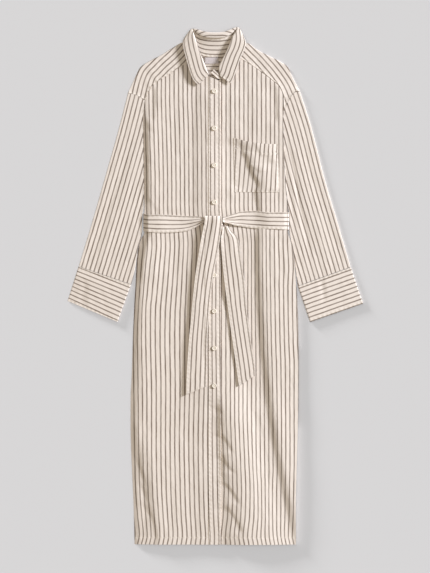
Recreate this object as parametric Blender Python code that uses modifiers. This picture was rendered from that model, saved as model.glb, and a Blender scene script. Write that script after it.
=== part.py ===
"""Shirt dress of striped linen with a collar, a chest pocket, deep cuffs and a tie belt.

The dress lies flat and face up, its back on the surface z = 0. Sizes are in millimetres: x runs
across the dress to the wearer's left, `up` is the way from the hem to the collar, z is the height
above the surface. The meshes are in metres, with the origin at the middle of the underside.
"""

import math
from collections import namedtuple

import bmesh
import bpy
from mathutils import Vector

MM = 0.001
DRESS_LENGTH = 1261.0  # from the hem to the top of the collar's roll
CLOTH = 1.2            # wall of the linen
SEAM = 0.3             # gap between neighbouring pieces
LAYER = CLOTH + SEAM
AIR_UNDER_FRONT = 1.6  # air between the back and the fronts, away from their edges
PLACKET_EDGE = 13.0    # x of the right front's free edge
PLACKET_WIDTH = 29.0
UNDERLAP_EDGE = -14.0  # x of the left front's edge, under the placket
SIDE_ROLL = 14.0       # width over which a front rolls down to its side seam
UNDERARM = 824.0       # height of the underarm point above the hem
BACK_SEAM = 1060.0     # height of the seam between the back panel and the yoke
YOKE_FOLD_TOP = 4.4    # top of the yoke just inside its shoulder fold
SLEEVE_TOP = 5.4       # top of a sleeve lying flat
CUFF_TOP = 6.0
BELT_BAND = (762.0, 814.0)  # heights between which the back panel lies on the belt
BELT_RAMP = 27.0
BUTTON_RADIUS = 5.7
BUTTON_THICKNESS = 2.6
NECK_RIGHT = -62.0     # x where the neck seam meets the shoulder folds
NECK_LEFT = 56.0
NECK_BACK = 1195.0     # height of the back neck seam at the centre
NECK_RISE = 29.0       # how far the neck seam rises from there to the shoulder

LINEN = (0.86, 0.79, 0.70, 1.0)
SHELL_WHITE = (0.83, 0.79, 0.71, 1.0)
LABEL_WHITE = (0.76, 0.76, 0.78, 1.0)

# The body's two edges: the side seams up to the underarm, then the armhole seams.
Side = namedtuple("Side", "up right left")
SIDES = (
    Side(0, -197.2, 197.5), Side(95, -199.0, 197.0), Side(170, -202.4, 198.7),
    Side(230, -207.6, 200.4), Side(353, -207.0, 203.8), Side(426, -203.4, 204.3),
    Side(507, -201.2, 203.4), Side(598, -197.2, 200.6), Side(640, -192.8, 196.4),
    Side(686, -188.6, 191.6), Side(722, -183.6, 187.0), Side(758, -173.1, 177.5),
    Side(820, -173.0, 177.2), Side(857, -174.4, 173.5), Side(911, -174.8, 169.6),
    Side(975, -175.6, 167.3), Side(1040, -176.8, 165.4), Side(1062, -175.0, 168.5),
    Side(1088, -172.0, 168.5),
)

Point = namedtuple("Point", "x up")
# The seam between the yoke's end and the sleeve, from the shoulder fold to the front armhole.
RIGHT_YOKE_END = (Point(-213.4, 1104.7), Point(-191.6, 1098.8), Point(-176.9, 1090.6),
                  Point(-172.0, 1087.6))
LEFT_YOKE_END = (Point(207.0, 1109.0), Point(196.7, 1108.0), Point(189.1, 1100.8),
                 Point(182.3, 1090.0), Point(175.4, 1076.8), Point(168.5, 1060.6))
RIGHT_YOKE_SEAM = (
    Point(-172.0, 1087.6), Point(-162.4, 1111.0), Point(-150.0, 1126.5), Point(-114.2, 1149.5),
    Point(-84.8, 1169.0), Point(-63.0, 1183.0),
)
LEFT_YOKE_SEAM = (
    Point(168.5, 1060.6), Point(166.6, 1097.4), Point(158.8, 1118.2), Point(142.8, 1134.0),
    Point(100.7, 1165.5), Point(54.0, 1194.0),
)
RIGHT_SHOULDER = (
    RIGHT_YOKE_END[0], Point(-191.8, 1151.3), Point(-183.5, 1166.9), Point(-156.8, 1184.6),
    Point(-132.8, 1196.8), Point(-104.6, 1214.6), Point(-77.9, 1228.0), Point(NECK_RIGHT, 1224.0),
)
LEFT_SHOULDER = (
    LEFT_YOKE_END[0], Point(189.1, 1144.0), Point(176.6, 1169.6), Point(156.8, 1182.4),
    Point(128.9, 1196.3), Point(100.7, 1211.8), Point(77.9, 1226.5), Point(NECK_LEFT, 1224.0),
)
RIGHT_NECK_EDGE = (Point(-63.0, 1183.0), Point(-49.5, 1166.0), Point(-32.3, 1152.5),
                   Point(-15.2, 1145.0), Point(8.0, 1135.0), Point(13.0, 1131.0))
LEFT_NECK_EDGE = (Point(54.0, 1194.0), Point(39.0, 1166.0), Point(20.0, 1142.0),
                  Point(-14.0, 1128.0))

# Soft ridges (positive heights) and troughs (negative) in the fronts, from top to bottom.
Fold = namedtuple("Fold", "name top_x top_up end_x end_up bend half_width height")
FOLDS = (
    Fold("right armhole trough", -160, 1122, -157, 812, 4, 10, -1.7),
    Fold("right chest ridge", -112, 1110, -116, 830, -4, 26, 1.5),
    Fold("right breast trough", -44, 1110, -52, 806, -3, 11, -1.6),
    Fold("left breast ridge", 52, 1130, 50, 830, 3, 22, 1.3),
    Fold("left pocket trough", 104, 1080, 92, 812, 5, 14, -2.4),
    Fold("left armhole ridge", 142, 1100, 140, 840, 0, 18, 1.5),
    Fold("left armhole trough", 160, 1090, 166, 830, 0, 8, -1.0),
    Fold("right waist gather", -92, 760, -100, 610, 0, 12, -1.2),
    Fold("right hip ridge", -140, 740, -150, 120, -6, 24, 1.5),
    Fold("right thigh trough", -84, 700, -96, 330, 4, 13, -1.4),
    Fold("right skirt ridge", -48, 560, -46, 60, 0, 22, 1.3),
    Fold("right hem drag", -194, 250, -152, 40, 5, 10, -2.2),
    Fold("slit trough", 5, 352, 14, 150, 0, 9, -1.6),
    Fold("slit hollow", 38, 270, 34, 20, 0, 20, -1.5),
    Fold("slit crease", 38, 235, 56, 95, 6, 6, -1.3),
    Fold("left hip ridge", 66, 740, 84, 120, 0, 20, 1.4),
    Fold("left thigh trough", 104, 790, 145, 70, -10, 13, -2.2),
    Fold("left side ridge", 164, 730, 172, 130, 8, 17, 1.4),
)

# One row for each station of the belt's front run, from the knot outwards.
BeltRun = namedtuple("BeltRun", "x top bottom lift")
RIGHT_RUN = (
    BeltRun(-29, 798, 777, 2.2), BeltRun(-37, 800, 773, 1.6), BeltRun(-56, 803, 765, 0.9),
    BeltRun(-98, 805, 762, 0.2), BeltRun(-140, 807, 762, 0), BeltRun(-164, 806, 764, 0),
)
LEFT_RUN = (
    BeltRun(18.8, 797, 788, 2.6), BeltRun(24, 800, 786, 2.4), BeltRun(33, 804, 784, 1.8),
    BeltRun(46, 809, 780, 1.2), BeltRun(64, 814, 777, 0.6), BeltRun(92, 816, 773, 0.1),
    BeltRun(134, 812, 771, 0), BeltRun(167, 812, 770, 0),
)

# One row for each station of the belt round the body's sides and under the back.
BeltTurn = namedtuple("BeltTurn", "x top bottom z")
RIGHT_TURN = (
    BeltTurn(-169.8, 807.0, 764.3, 7.1), BeltTurn(-173.6, 808.0, 765.0, 5.9),
    BeltTurn(-175.5, 808.6, 765.4, 4.0), BeltTurn(-175.6, 809.2, 765.8, 1.6),
    BeltTurn(-173.0, 810.0, 766.0, 0.0),
)
UNDER_BACK = (
    BeltTurn(-120.0, 810.0, 766.0, 0.0), BeltTurn(-40.0, 810.8, 766.8, 0.0),
    BeltTurn(40.0, 811.6, 767.6, 0.0), BeltTurn(130.0, 812.5, 768.5, 0.0),
)
LEFT_TURN = (
    BeltTurn(177.5, 812.8, 768.8, 0.0), BeltTurn(180.4, 812.6, 769.0, 1.6),
    BeltTurn(180.3, 812.5, 769.4, 4.0), BeltTurn(178.2, 812.4, 769.6, 5.9),
    BeltTurn(174.4, 812.2, 769.8, 7.1),
)

# One row for each station of a hanging belt end; the lifts raise its edges off what it lies on.
Tail = namedtuple("Tail", "up_right up_left right left lift_right lift_left")
TAIL_OVER = (
    Tail(792, 792, -20, 14, 9.4, 9.4), Tail(776, 776, -29, 17, 8.6, 8.6),
    Tail(753, 753, -33, 14, 5.6, 5.4), Tail(700, 700, -42, 4, 3.6, 2.0),
    Tail(661, 661, -48, -9.8, 3.6, 1.0), Tail(626, 626, -52, -12.4, 3.5, 0.8),
    Tail(590, 590, -55, -15, 3.4, 0.6),
    Tail(552, 552, -59, -18, 3.2, 0.8), Tail(500, 500, -63, -20, 3.0, 1.0),
    Tail(440, 440, -68, -20, 2.8, 0.4), Tail(400, 404, -70, -21, 2.2, 0.2),
    Tail(366, 387, -70.5, -21.5, 1.6, 0.0),
)
TAIL_UNDER = (
    Tail(776, 778, 20, 31, 4.4, 4.2), Tail(762, 765, 17, 41, 2.4, 2.0),
    Tail(744, 748, 14, 56, 0.8, 1.6), Tail(700, 706, 17, 62, 0.2, 1.8),
    Tail(640, 644, 23, 71, 0.4, 2.0), Tail(570, 574, 32, 77, 0.2, 1.6),
    Tail(500, 506, 42, 86, 0.4, 1.8), Tail(430, 440, 52, 96, 0.2, 1.6),
    Tail(387, 414, 58, 98, 0.0, 1.2),
)

# One row for each section of the collar. `facing` is the way that the leaf falls from its roll,
# in degrees from the wearer's left; `tuck` is how far its free edge turns back under. The foot is
# where the stand is sewn to the neck.
Collar = namedtuple(
    "Collar", "name roll_x roll_up roll_z edge_x edge_up edge_z facing tuck foot_x foot_up")
COLLAR = (
    Collar("right point", -15.4, 1148.2, 11.2, -41.4, 1126.3, 7.0, 220, -10, -19.0, 1145.4),
    Collar("right front", -21.5, 1163.5, 12.4, -53.2, 1136.6, 7.0, 218, -12, -34.5, 1152.0),
    Collar("right chest", -30.0, 1183.0, 13.4, -63.0, 1160.0, 7.4, 214, -12, -51.5, 1166.5),
    Collar("right neck", -37.4, 1201.5, 15.0, -71.0, 1186.8, 7.6, 204, -12, -64.6, 1190.0),
    Collar("right shoulder", -43.6, 1222.0, 16.4, -77.0, 1211.0, 7.2, 192, -10, -64.4, 1210.0),
    Collar("right turn", -50.8, 1244.5, 16.8, -79.0, 1233.0, 5.6, 164, 3, -58.0, 1226.0),
    Collar("right corner", -53.5, 1254.0, 14.0, -69.0, 1243.0, 2.2, 126, 13, -47.0, 1211.0),
    Collar("right back", -41.0, 1253.5, 13.5, -46.0, 1227.0, 0.7, 102, 34, -38.0, 1200.0),
    Collar("centre right", -23.0, 1248.0, 15.5, -25.0, 1211.0, 0.6, 94, 45, -21.0, 1194.2),
    Collar("centre back", 0.0, 1246.5, 16.5, 0.0, 1206.5, 0.6, 90, 47, 0.0, 1192.8),
    Collar("centre left", 23.0, 1248.5, 15.5, 25.0, 1211.0, 0.6, 86, 45, 21.0, 1194.2),
    Collar("left back", 41.0, 1255.0, 13.5, 45.0, 1229.0, 0.7, 80, 34, 34.0, 1199.0),
    Collar("left corner", 51.0, 1257.0, 14.6, 65.0, 1243.0, 3.0, 58, 13, 43.0, 1211.0),
    Collar("left turn", 40.0, 1240.0, 16.8, 74.0, 1228.0, 5.6, 12, 0, 53.0, 1226.0),
    Collar("left shoulder", 32.0, 1217.0, 16.4, 69.5, 1209.0, 7.8, -10, -10, 57.6, 1211.0),
    Collar("left neck", 22.5, 1197.0, 15.0, 60.5, 1184.0, 8.5, -20, -12, 56.0, 1196.0),
    Collar("left chest", 13.5, 1179.0, 13.4, 52.0, 1160.0, 8.2, -30, -12, 44.0, 1172.0),
    Collar("left front", 8.5, 1164.0, 12.0, 44.0, 1138.0, 7.4, -38, -12, 30.0, 1152.0),
    Collar("left point", 11.8, 1144.5, 10.5, 36.5, 1128.0, 7.0, -34, -10, 19.0, 1139.0),
)
ROLL_RADIUS = 2.6   # radius of the leaf's roll over the stand in front
ROLL_SPREAD = 9.5   # how much wider the roll is at the back of the neck

# The undone left end of the stand, which turns up into the neck.
StandEnd = namedtuple("StandEnd", "foot_x foot_up foot_z top_x top_up top_z behind")
STAND_END = (
    StandEnd(8.3, 1138.3, 6.9, 10.6, 1145.8, 6.6, 0), StandEnd(-1.4, 1145.8, 8.4, 4.6, 1153.4, 8.2, 0),
    StandEnd(-10.4, 1153.4, 9.2, -3.8, 1161.6, 9.0, 0),
)

BUTTON_HEIGHTS = (1108.0, 1017.5, 927.0, 836.5, 747.0, 658.0, 570.5, 480.0, 388.0)
BUTTON_X = -2.4

Pocket = namedtuple("Pocket", "mouth_right mouth_left base_right base_left")
POCKET = Pocket(Point(46.0, 994.0), Point(153.0, 979.0), Point(47.5, 862.0), Point(157.5, 861.0))


def ease(low, high, value):
    """0 up to low, 1 from high, and a smooth rise between them."""
    share = min(max((value - low) / (high - low), 0.0), 1.0)
    return share * share * (3.0 - 2.0 * share)


def mix(start, end, share):
    return start + (end - start) * share


def between(start, end, share):
    return Point(mix(start.x, end.x, share), mix(start.up, end.up, share))


def along(rows, key, field, place):
    """A column of a table read between its rows, on a smooth curve that never overshoots them."""
    keys = [getattr(row, key) for row in rows]
    values = [getattr(row, field) for row in rows]
    place = min(max(place, keys[0]), keys[-1])
    row = max(index for index in range(len(rows) - 1) if keys[index] <= place)
    slopes = [(values[i + 1] - values[i]) / (keys[i + 1] - keys[i]) for i in range(len(rows) - 1)]

    def tangent(index):
        if index == 0 or index == len(slopes):
            return slopes[min(index, len(slopes) - 1)]
        before, after = slopes[index - 1], slopes[index]
        return 0.0 if before * after <= 0.0 else 2.0 * before * after / (before + after)

    width = keys[row + 1] - keys[row]
    t = (place - keys[row]) / width
    start = values[row] * (1.0 + 2.0 * t) + tangent(row) * width * t
    end = values[row + 1] * (3.0 - 2.0 * t) - tangent(row + 1) * width * (1.0 - t)
    return start * (1.0 - t) ** 2 + end * t * t


def walk(points, share):
    """The point a share of the way along a line of points."""
    steps = [math.hypot(b.x - a.x, b.up - a.up) for a, b in zip(points, points[1:])]
    left = share * sum(steps)
    for start, end, step in zip(points, points[1:], steps):
        if left <= step:
            return between(start, end, left / step)
        left -= step
    return points[-1]


def stops(points, longest):
    """Shares of the way along a line that hit its every point, at most `longest` apart."""
    steps = [math.hypot(b.x - a.x, b.up - a.up) for a, b in zip(points, points[1:])]
    whole, gone, found = sum(steps), 0.0, [0.0]
    for step in steps:
        parts = math.ceil(step / longest)
        found += [(gone + step * part / parts) / whole for part in range(1, parts + 1)]
        gone += step
    return found


def height_at(points, x):
    """The height above the hem of a line of points at x."""
    ordered = sorted(points)
    for start, end in zip(ordered, ordered[1:]):
        if x <= end.x:
            return mix(start.up, end.up, max((x - start.x) / (end.x - start.x), 0.0))
    return ordered[-1].up


def round_rows(rows, place):
    """A table read at a row number with a fraction, on a Catmull-Rom curve through its rows."""
    index = min(int(place), len(rows) - 2)
    t = place - index
    before, start = rows[max(index - 1, 0)], rows[index]
    end, after = rows[index + 1], rows[min(index + 2, len(rows) - 1)]
    values = []
    for a, b, c, d in zip(before, start, end, after):
        if isinstance(b, str):
            values.append(b)
            continue
        curve = (c - a) + t * (2 * a - 5 * b + 4 * c - d + t * (3 * b - 3 * c + d - a))
        values.append(b + 0.5 * t * curve)
    return type(start)(*values)


# ---------------------------------------------------------------- the lie of the cloth

def side_x(up, wearer):
    """x of the body's edge on the wearer's right or left."""
    return along(SIDES, "up", wearer, up)


def back_underside(up):
    """Height of the back panel's underside, which rises where it lies on the belt."""
    low, high = BELT_BAND
    rise = ease(low - BELT_RAMP, low, up) - ease(high, high + BELT_RAMP, up)
    return LAYER * rise


def fold_height(fold, x, up):
    """Height that one fold adds at a place, fading out beyond its two ends."""
    t = (up - fold.end_up) / (fold.top_up - fold.end_up)
    line = mix(fold.end_x, fold.top_x, t) + 4.0 * fold.bend * t * (1.0 - t)
    fade = ease(-0.12, 0.12, t) * (1.0 - ease(0.88, 1.12, t))
    return fold.height * fade * math.exp(-((x - line) / fold.half_width) ** 2)


def front_top(x, up):
    """Height of the fronts' upper face before one laps the other."""
    floor = back_underside(up) + 2.0 * CLOTH + SEAM
    puff = AIR_UNDER_FRONT + sum(fold_height(fold, x, up) for fold in FOLDS)
    puff = 0.5 * (puff + math.sqrt(puff * puff + 0.5))
    inside = min(x - side_x(up, "right"), side_x(up, "left") - x)
    reach = min(max(inside / SIDE_ROLL, 0.0), 1.0)
    roll = math.sqrt(1.0 - (1.0 - reach) ** 2)
    held_at_armhole = ease(UNDERARM - 10.0, UNDERARM + 30.0, up)
    return floor + mix(puff * roll, AIR_UNDER_FRONT + (puff - AIR_UNDER_FRONT) * reach,
                       held_at_armhole)


def right_front_top(x, up):
    """The right front laps over the left one along the placket."""
    return front_top(x, up) + (LAYER + 0.3) * ease(-44.0, UNDERLAP_EDGE - 6.0, x)


def dress_top(x, up):
    """Height of whatever is uppermost on the body."""
    if x > PLACKET_EDGE + 1.0:
        return front_top(x, up)
    if x > PLACKET_EDGE - PLACKET_WIDTH - 1.0:
        return right_front_top(x, up) + LAYER + 0.2
    return right_front_top(x, up)


def neck_edge_top(x, up):
    """Height of the cloth round the neck: the yoke's flaps and the fronts, or the back yoke."""
    if NECK_RIGHT + 8.0 < x < NECK_LEFT - 8.0 and up > NECK_BACK - 10.0:
        return CLOTH
    return max(right_front_top(x, up), YOKE_FOLD_TOP)


def lie_on(surface, x, up, reach=9.0):
    """Underside of a piece that lies on a surface: clear of its highest point nearby."""
    steps = (-reach, 0.0, reach)
    return max(surface(x + dx, up + dy) for dx in steps for dy in steps) + SEAM


# ---------------------------------------------------------------- meshes and materials

def material(name, colour, roughness):
    made = bpy.data.materials.new(name)
    made.use_nodes = True
    shader = made.node_tree.nodes["Principled BSDF"]
    shader.inputs["Base Color"].default_value = colour
    shader.inputs["Roughness"].default_value = roughness
    shader.inputs["Metallic"].default_value = 0.0
    made.diffuse_color = colour
    return made


def add_object(name, mesh, colour=LINEN, roughness=0.9):
    mesh.materials.append(material(name + "_finish", colour, roughness))
    made = bpy.data.objects.new(name, mesh)
    bpy.data.collections["shirt_dress"].objects.link(made)
    return made


def grid_into(bm, columns, rows, place):
    """Adds a grid whose vertices go where place(column, row) says; returns its vertices."""
    grid = bmesh.ops.create_grid(bm, x_segments=columns, y_segments=rows, size=0.5)
    for vertex in grid["verts"]:
        column = round((vertex.co.x + 0.5) * columns)
        row = round((vertex.co.y + 0.5) * rows)
        x, up, z = place(column, row)
        vertex.co = (x * MM, (up - DRESS_LENGTH / 2.0) * MM, z * MM)
    return grid["verts"]


def finish_sheet(name, bm, outward, thickness=CLOTH, colour=LINEN):
    """Turns a one-sided sheet into a wall of cloth, measured inwards from its outer face."""
    bmesh.ops.remove_doubles(bm, verts=bm.verts, dist=0.00002)
    bmesh.ops.recalc_face_normals(bm, faces=bm.faces)
    bm.normal_update()
    if not outward(bm):
        bmesh.ops.reverse_faces(bm, faces=bm.faces)
    mesh = bpy.data.meshes.new(name)
    bm.to_mesh(mesh)
    bm.free()
    mesh.shade_smooth()
    made = add_object(name, mesh, colour)
    wall = made.modifiers.new("cloth wall", "SOLIDIFY")
    wall.thickness = thickness * MM
    wall.offset = -1.0
    return made


def faces_up(bm):
    """True when a sheet's faces point up on the whole."""
    return sum(face.normal.z * face.calc_area() for face in bm.faces) > 0.0


def faces_down(bm):
    return not faces_up(bm)


def faces_up_behind(bm):
    """True when a neck band's faces point up at the middle of the back."""
    behind = (0.0, (DRESS_LENGTH / 2.0 - 45.0) * MM, 0.012)
    middle = min(bm.faces, key=lambda face: (face.calc_center_median() - Vector(behind)).length)
    return middle.normal.z > 0.0


def faces_out(bm):
    """True when a folded sheet's faces point up in its upper layer and down in its lower one."""
    heights = [vertex.co.z for vertex in bm.verts]
    middle = 0.5 * (min(heights) + max(heights))
    return sum(face.normal.z * face.calc_area() * (face.calc_center_median().z - middle)
               for face in bm.faces) > 0.0


def sheet(name, columns, rows, place, outward=faces_up, thickness=CLOTH, colour=LINEN):
    """A single sheet of cloth on a grid of columns and rows."""
    bm = bmesh.new()
    grid_into(bm, columns, rows, place)
    return finish_sheet(name, bm, outward, thickness, colour)


# ---------------------------------------------------------------- body

LEVELS = tuple(44.0 * step for step in range(16)) + (
    700.0, 735.0, 762.0, 788.0, 814.0, 841.0, 876.0, 911.0, 946.0, 981.0, 1016.0, 1040.0)
TOP_SHARES = (0.34, 0.67, 1.0)
BACK_LEVELS = LEVELS + (BACK_SEAM - SEAM,)
FRONT_SHARES = (0.015, 0.085, 0.18, 0.25, 0.39, 0.53, 0.8, 0.91)


def back_panel():
    columns = 4

    def place(column, row):
        up = BACK_LEVELS[row]
        x = mix(side_x(up, "right"), side_x(up, "left"), column / columns)
        return x, up, back_underside(up)

    return sheet("back_panel", columns, len(BACK_LEVELS) - 1, place, faces_down)


def front(name, wearer, centre, top_line, height):
    """One front, from its side seam to its centre edge and from the hem to the yoke and neck."""
    corner_x = top_line[0].x
    shares = sorted(FRONT_SHARES + tuple((point.x - corner_x) / (centre - corner_x)
                                         for point in top_line))
    straight = len(LEVELS)

    def place(column, row):
        top_x = mix(corner_x, centre, shares[column])
        slope = (height_at(top_line, top_x + 1.0) - height_at(top_line, top_x - 1.0)) / 2.0
        top = height_at(top_line, top_x) - 1.2 * SEAM * math.hypot(1.0, slope)
        if row < straight:
            up = LEVELS[row]
        else:
            up = mix(LEVELS[-1], top, TOP_SHARES[row - straight])
        side = side_x(min(up, top_line[0].up), wearer)
        x = mix(side, centre, shares[column])
        return x, up, height(x, up)

    return sheet(name, len(shares) - 1, straight + len(TOP_SHARES) - 1, place)


def front_placket():
    columns = 4
    levels = LEVELS + (1075.0, 1105.0)

    def place(column, row):
        x = mix(PLACKET_EDGE - PLACKET_WIDTH, PLACKET_EDGE - SEAM, column / columns)
        top = height_at(RIGHT_NECK_EDGE, x) - 2.0 * SEAM
        up = levels[row] if row < len(levels) else top
        return x, up, lie_on(right_front_top, x, up, 4.0) + CLOTH

    return sheet("front_placket", columns, len(levels), place)


def chest_pocket():
    columns, rows = 9, 10

    def place(column, row):
        across = column / columns
        base = between(POCKET.base_right, POCKET.base_left, across)
        mouth = between(POCKET.mouth_right, POCKET.mouth_left, across)
        sag = 5.0 * math.sin(math.pi * across)
        spot = between(base, Point(mouth.x, mouth.up - sag), row / rows)
        return spot.x, spot.up, lie_on(front_top, spot.x, spot.up, 7.0) + CLOTH

    return sheet("chest_pocket", columns, rows, place)


# ---------------------------------------------------------------- yoke

BACK_REACH = (0.0, 0.03, 0.5, 1.0)  # shares of the way from the shoulder fold to the seam line
FLAP_REACH = (0.0, 0.03, 0.15, 0.35, 0.58, 0.8, 1.0)


def back_neck(x):
    """Height above the hem of the back neck seam."""
    half_width = (NECK_LEFT - NECK_RIGHT) / 2.0
    return NECK_BACK + NECK_RISE * min(abs(x - NECK_RIGHT - half_width) / half_width, 1.0) ** 3


def yoke_side(bm, shoulder, end, seam, wearer):
    """One shoulder of the yoke: its back layer, folded over at the shoulder into a front flap."""
    shares = stops(end + seam[1:], 34.0)
    folds = [walk(shoulder, share) for share in shares]
    seams = [walk(end + seam[1:], share) for share in shares]
    corner = len(stops(end, 34.0)) - 1
    straight = len(seams) - 1 - corner
    feet = [between(Point(side_x(BACK_SEAM, wearer), BACK_SEAM), Point(seams[-1].x, BACK_SEAM),
                    step / straight) for step in range(straight + 1)]

    def back_place(column, row):
        spot = between(folds[column], seams[column], BACK_REACH[row])
        return spot.x, spot.up, 0.0 if row else YOKE_FOLD_TOP / 2.0

    def foot_place(column, row):
        spot = between(seams[corner + column], feet[column], row / 2.0)
        return spot.x, spot.up, 0.0

    def flap_place(column, row):
        spot = between(folds[column], seams[column], FLAP_REACH[row])
        if row == 0:
            return spot.x, spot.up, YOKE_FOLD_TOP / 2.0
        lie = front_top(spot.x, spot.up) if column else YOKE_FOLD_TOP
        return spot.x, spot.up, mix(YOKE_FOLD_TOP, lie, ease(0.0, 0.5, FLAP_REACH[row]))

    grid_into(bm, len(shares) - 1, len(BACK_REACH) - 1, back_place)
    grid_into(bm, straight, 2, foot_place)
    grid_into(bm, len(shares) - 1, len(FLAP_REACH) - 1, flap_place)


def yoke():
    """The yoke in one piece: two shoulders joined below the back neck."""
    bm = bmesh.new()
    yoke_side(bm, RIGHT_SHOULDER, RIGHT_YOKE_END, RIGHT_YOKE_SEAM, "right")
    yoke_side(bm, LEFT_SHOULDER, LEFT_YOKE_END, LEFT_YOKE_SEAM, "left")
    columns = 10

    def ends(column):
        share = column / columns
        fold = between(RIGHT_SHOULDER[-1], LEFT_SHOULDER[-1], share)
        seam = between(RIGHT_YOKE_SEAM[-1], LEFT_YOKE_SEAM[-1], share)
        return Point(fold.x, back_neck(fold.x)), seam, Point(seam.x, BACK_SEAM)

    def back_place(column, row):
        fold, seam, _ = ends(column)
        spot = between(fold, seam, BACK_REACH[row])
        shoulder = row == 0 and column in (0, columns)
        return spot.x, spot.up, YOKE_FOLD_TOP / 2.0 if shoulder else 0.0

    def foot_place(column, row):
        _, seam, foot = ends(column)
        spot = between(seam, foot, row / 2.0)
        return spot.x, spot.up, 0.0

    grid_into(bm, columns, len(BACK_REACH) - 1, back_place)
    grid_into(bm, columns, 2, foot_place)
    return finish_sheet("yoke", bm, faces_out)


# ---------------------------------------------------------------- sleeves and cuffs

ROLL_SHARES = ((0.3, 0.10), (0.0, 0.5), (0.3, 0.90))
ROLL_WIDTH = 0.03


def tube_ring(shares):
    """One turn round a flat tube: pairs of the share across it and the share of its height."""
    inner = [share for share in shares if 1.6 * ROLL_WIDTH < share < 1.0 - 1.6 * ROLL_WIDTH]
    flat = [ROLL_WIDTH] + inner + [1.0 - ROLL_WIDTH]
    ring = [(share, 0.0) for share in flat]
    ring += [(1.0 - ROLL_WIDTH * share, level) for share, level in ROLL_SHARES]
    ring += [(share, 1.0) for share in reversed(flat)]
    ring += [(ROLL_WIDTH * share, level) for share, level in reversed(ROLL_SHARES)]
    return ring


def flat_tube(name, plan, top, stations, shares):
    """A tube of cloth lying flat; plan(across, down) gives its place, top(across, down) its top."""
    ring = tube_ring(shares)

    def place(column, row):
        across, level = ring[column % len(ring)]
        spot = plan(across, row / stations)
        return spot.x, spot.up, level * top(across, row / stations)

    return sheet(name, len(ring), stations, place, faces_out)


# A sleeve's two folded edges, from the armhole to the cuff, and its heights along the armhole.
SleeveCut = namedtuple("SleeveCut", "inner outer armhole_heights")
RIGHT_SLEEVE = SleeveCut(
    (Point(-175.6, UNDERARM), Point(-177.0, 808.0), Point(-182.0, 786.0), Point(-190.4, 760.0),
     Point(-191.6, 721.0), Point(-206.3, 636.0)),
    (Point(-213.5, 1104.3), Point(-235.9, 1016.5), Point(-265.6, 911.2), Point(-299.4, 793.6),
     Point(-333.7, 680.4)),
    (876.0, 946.0, 1016.0, 1040.0, 1056.0, 1071.5))
LEFT_SLEEVE = SleeveCut(
    (Point(179.9, UNDERARM), Point(182.4, 806.0), Point(184.6, 764.0), Point(192.6, 700.0),
     Point(199.0, 662.0), Point(202.4, 632.0)),
    (Point(207.3, 1108.1), Point(232.8, 1029.5), Point(266.6, 898.9), Point(300.4, 784.7),
     Point(331.4, 678.6)),
    (876.0, 946.0, 1016.0, 1040.0))

# Creases along the sleeves: across and down are shares of the sleeve's width and length.
Crease = namedtuple("Crease", "across_start across_end down_start down_end half_width height")
SLEEVE_CREASES = {
    "right_sleeve": (
        Crease(0.30, 0.36, 0.15, 0.75, 0.07, -1.3), Crease(0.62, 0.66, 0.05, 0.9, 0.09, 1.0),
        Crease(0.84, 0.84, 0.25, 1.0, 0.06, -0.8), Crease(0.12, 0.2, 0.05, 0.4, 0.08, -1.2),
    ),
    "left_sleeve": (
        Crease(0.52, 0.34, 0.1, 0.8, 0.07, -1.4), Crease(0.7, 0.62, 0.1, 0.95, 0.1, 1.1),
        Crease(0.16, 0.2, 0.0, 0.5, 0.08, -1.0), Crease(0.86, 0.86, 0.3, 1.0, 0.06, -0.8),
    ),
}


def crease_height(crease, across, down):
    t = (down - crease.down_start) / (crease.down_end - crease.down_start)
    line = mix(crease.across_start, crease.across_end, t)
    fade = ease(-0.15, 0.2, t) * (1.0 - ease(0.8, 1.15, t))
    return crease.height * fade * math.exp(-((across - line) / crease.half_width) ** 2)


def sleeve(name, cut, wearer, yoke_end):
    """A sleeve, stretched between the armhole, the cuff seam and its two folded edges."""
    outward = -1.0 if wearer == "right" else 1.0
    armhole = [cut.inner[0]]
    armhole += [Point(side_x(up, wearer) + outward * 1.6 * SEAM, up) for up in cut.armhole_heights]
    armhole += [Point(point.x + outward * SEAM, point.up - SEAM) for point in yoke_end[:0:-1]]
    armhole += [cut.outer[0]]
    creases = SLEEVE_CREASES[name]

    def plan(across, down):
        start, end = walk(armhole, across), between(cut.inner[-1], cut.outer[-1], across)
        inner, outer = walk(cut.inner, down), walk(cut.outer, down)
        lengthwise = between(start, end, down)
        crosswise = between(inner, outer, across)
        corners = between(between(cut.inner[0], cut.outer[0], across), end, down)
        return Point(lengthwise.x + crosswise.x - corners.x,
                     lengthwise.up + crosswise.up - corners.up)

    def top(across, down):
        height = mix(YOKE_FOLD_TOP, SLEEVE_TOP, ease(0.0, 0.25, down))
        return height + sum(crease_height(crease, across, down) for crease in creases)

    return flat_tube(name, plan, top, 13, stops(armhole, 80.0))


CuffCut = namedtuple("CuffCut", "top_inner top_outer end_outer end_inner crease")
RIGHT_CUFF = CuffCut(Point(-206.2, 635.4), Point(-334.1, 680.2), Point(-361.4, 595.4),
                     Point(-238.9, 544.1), 0.30)
LEFT_CUFF = CuffCut(Point(202.5, 631.4), Point(332.0, 678.0), Point(362.1, 589.0),
                    Point(232.3, 543.7), 0.62)


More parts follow.
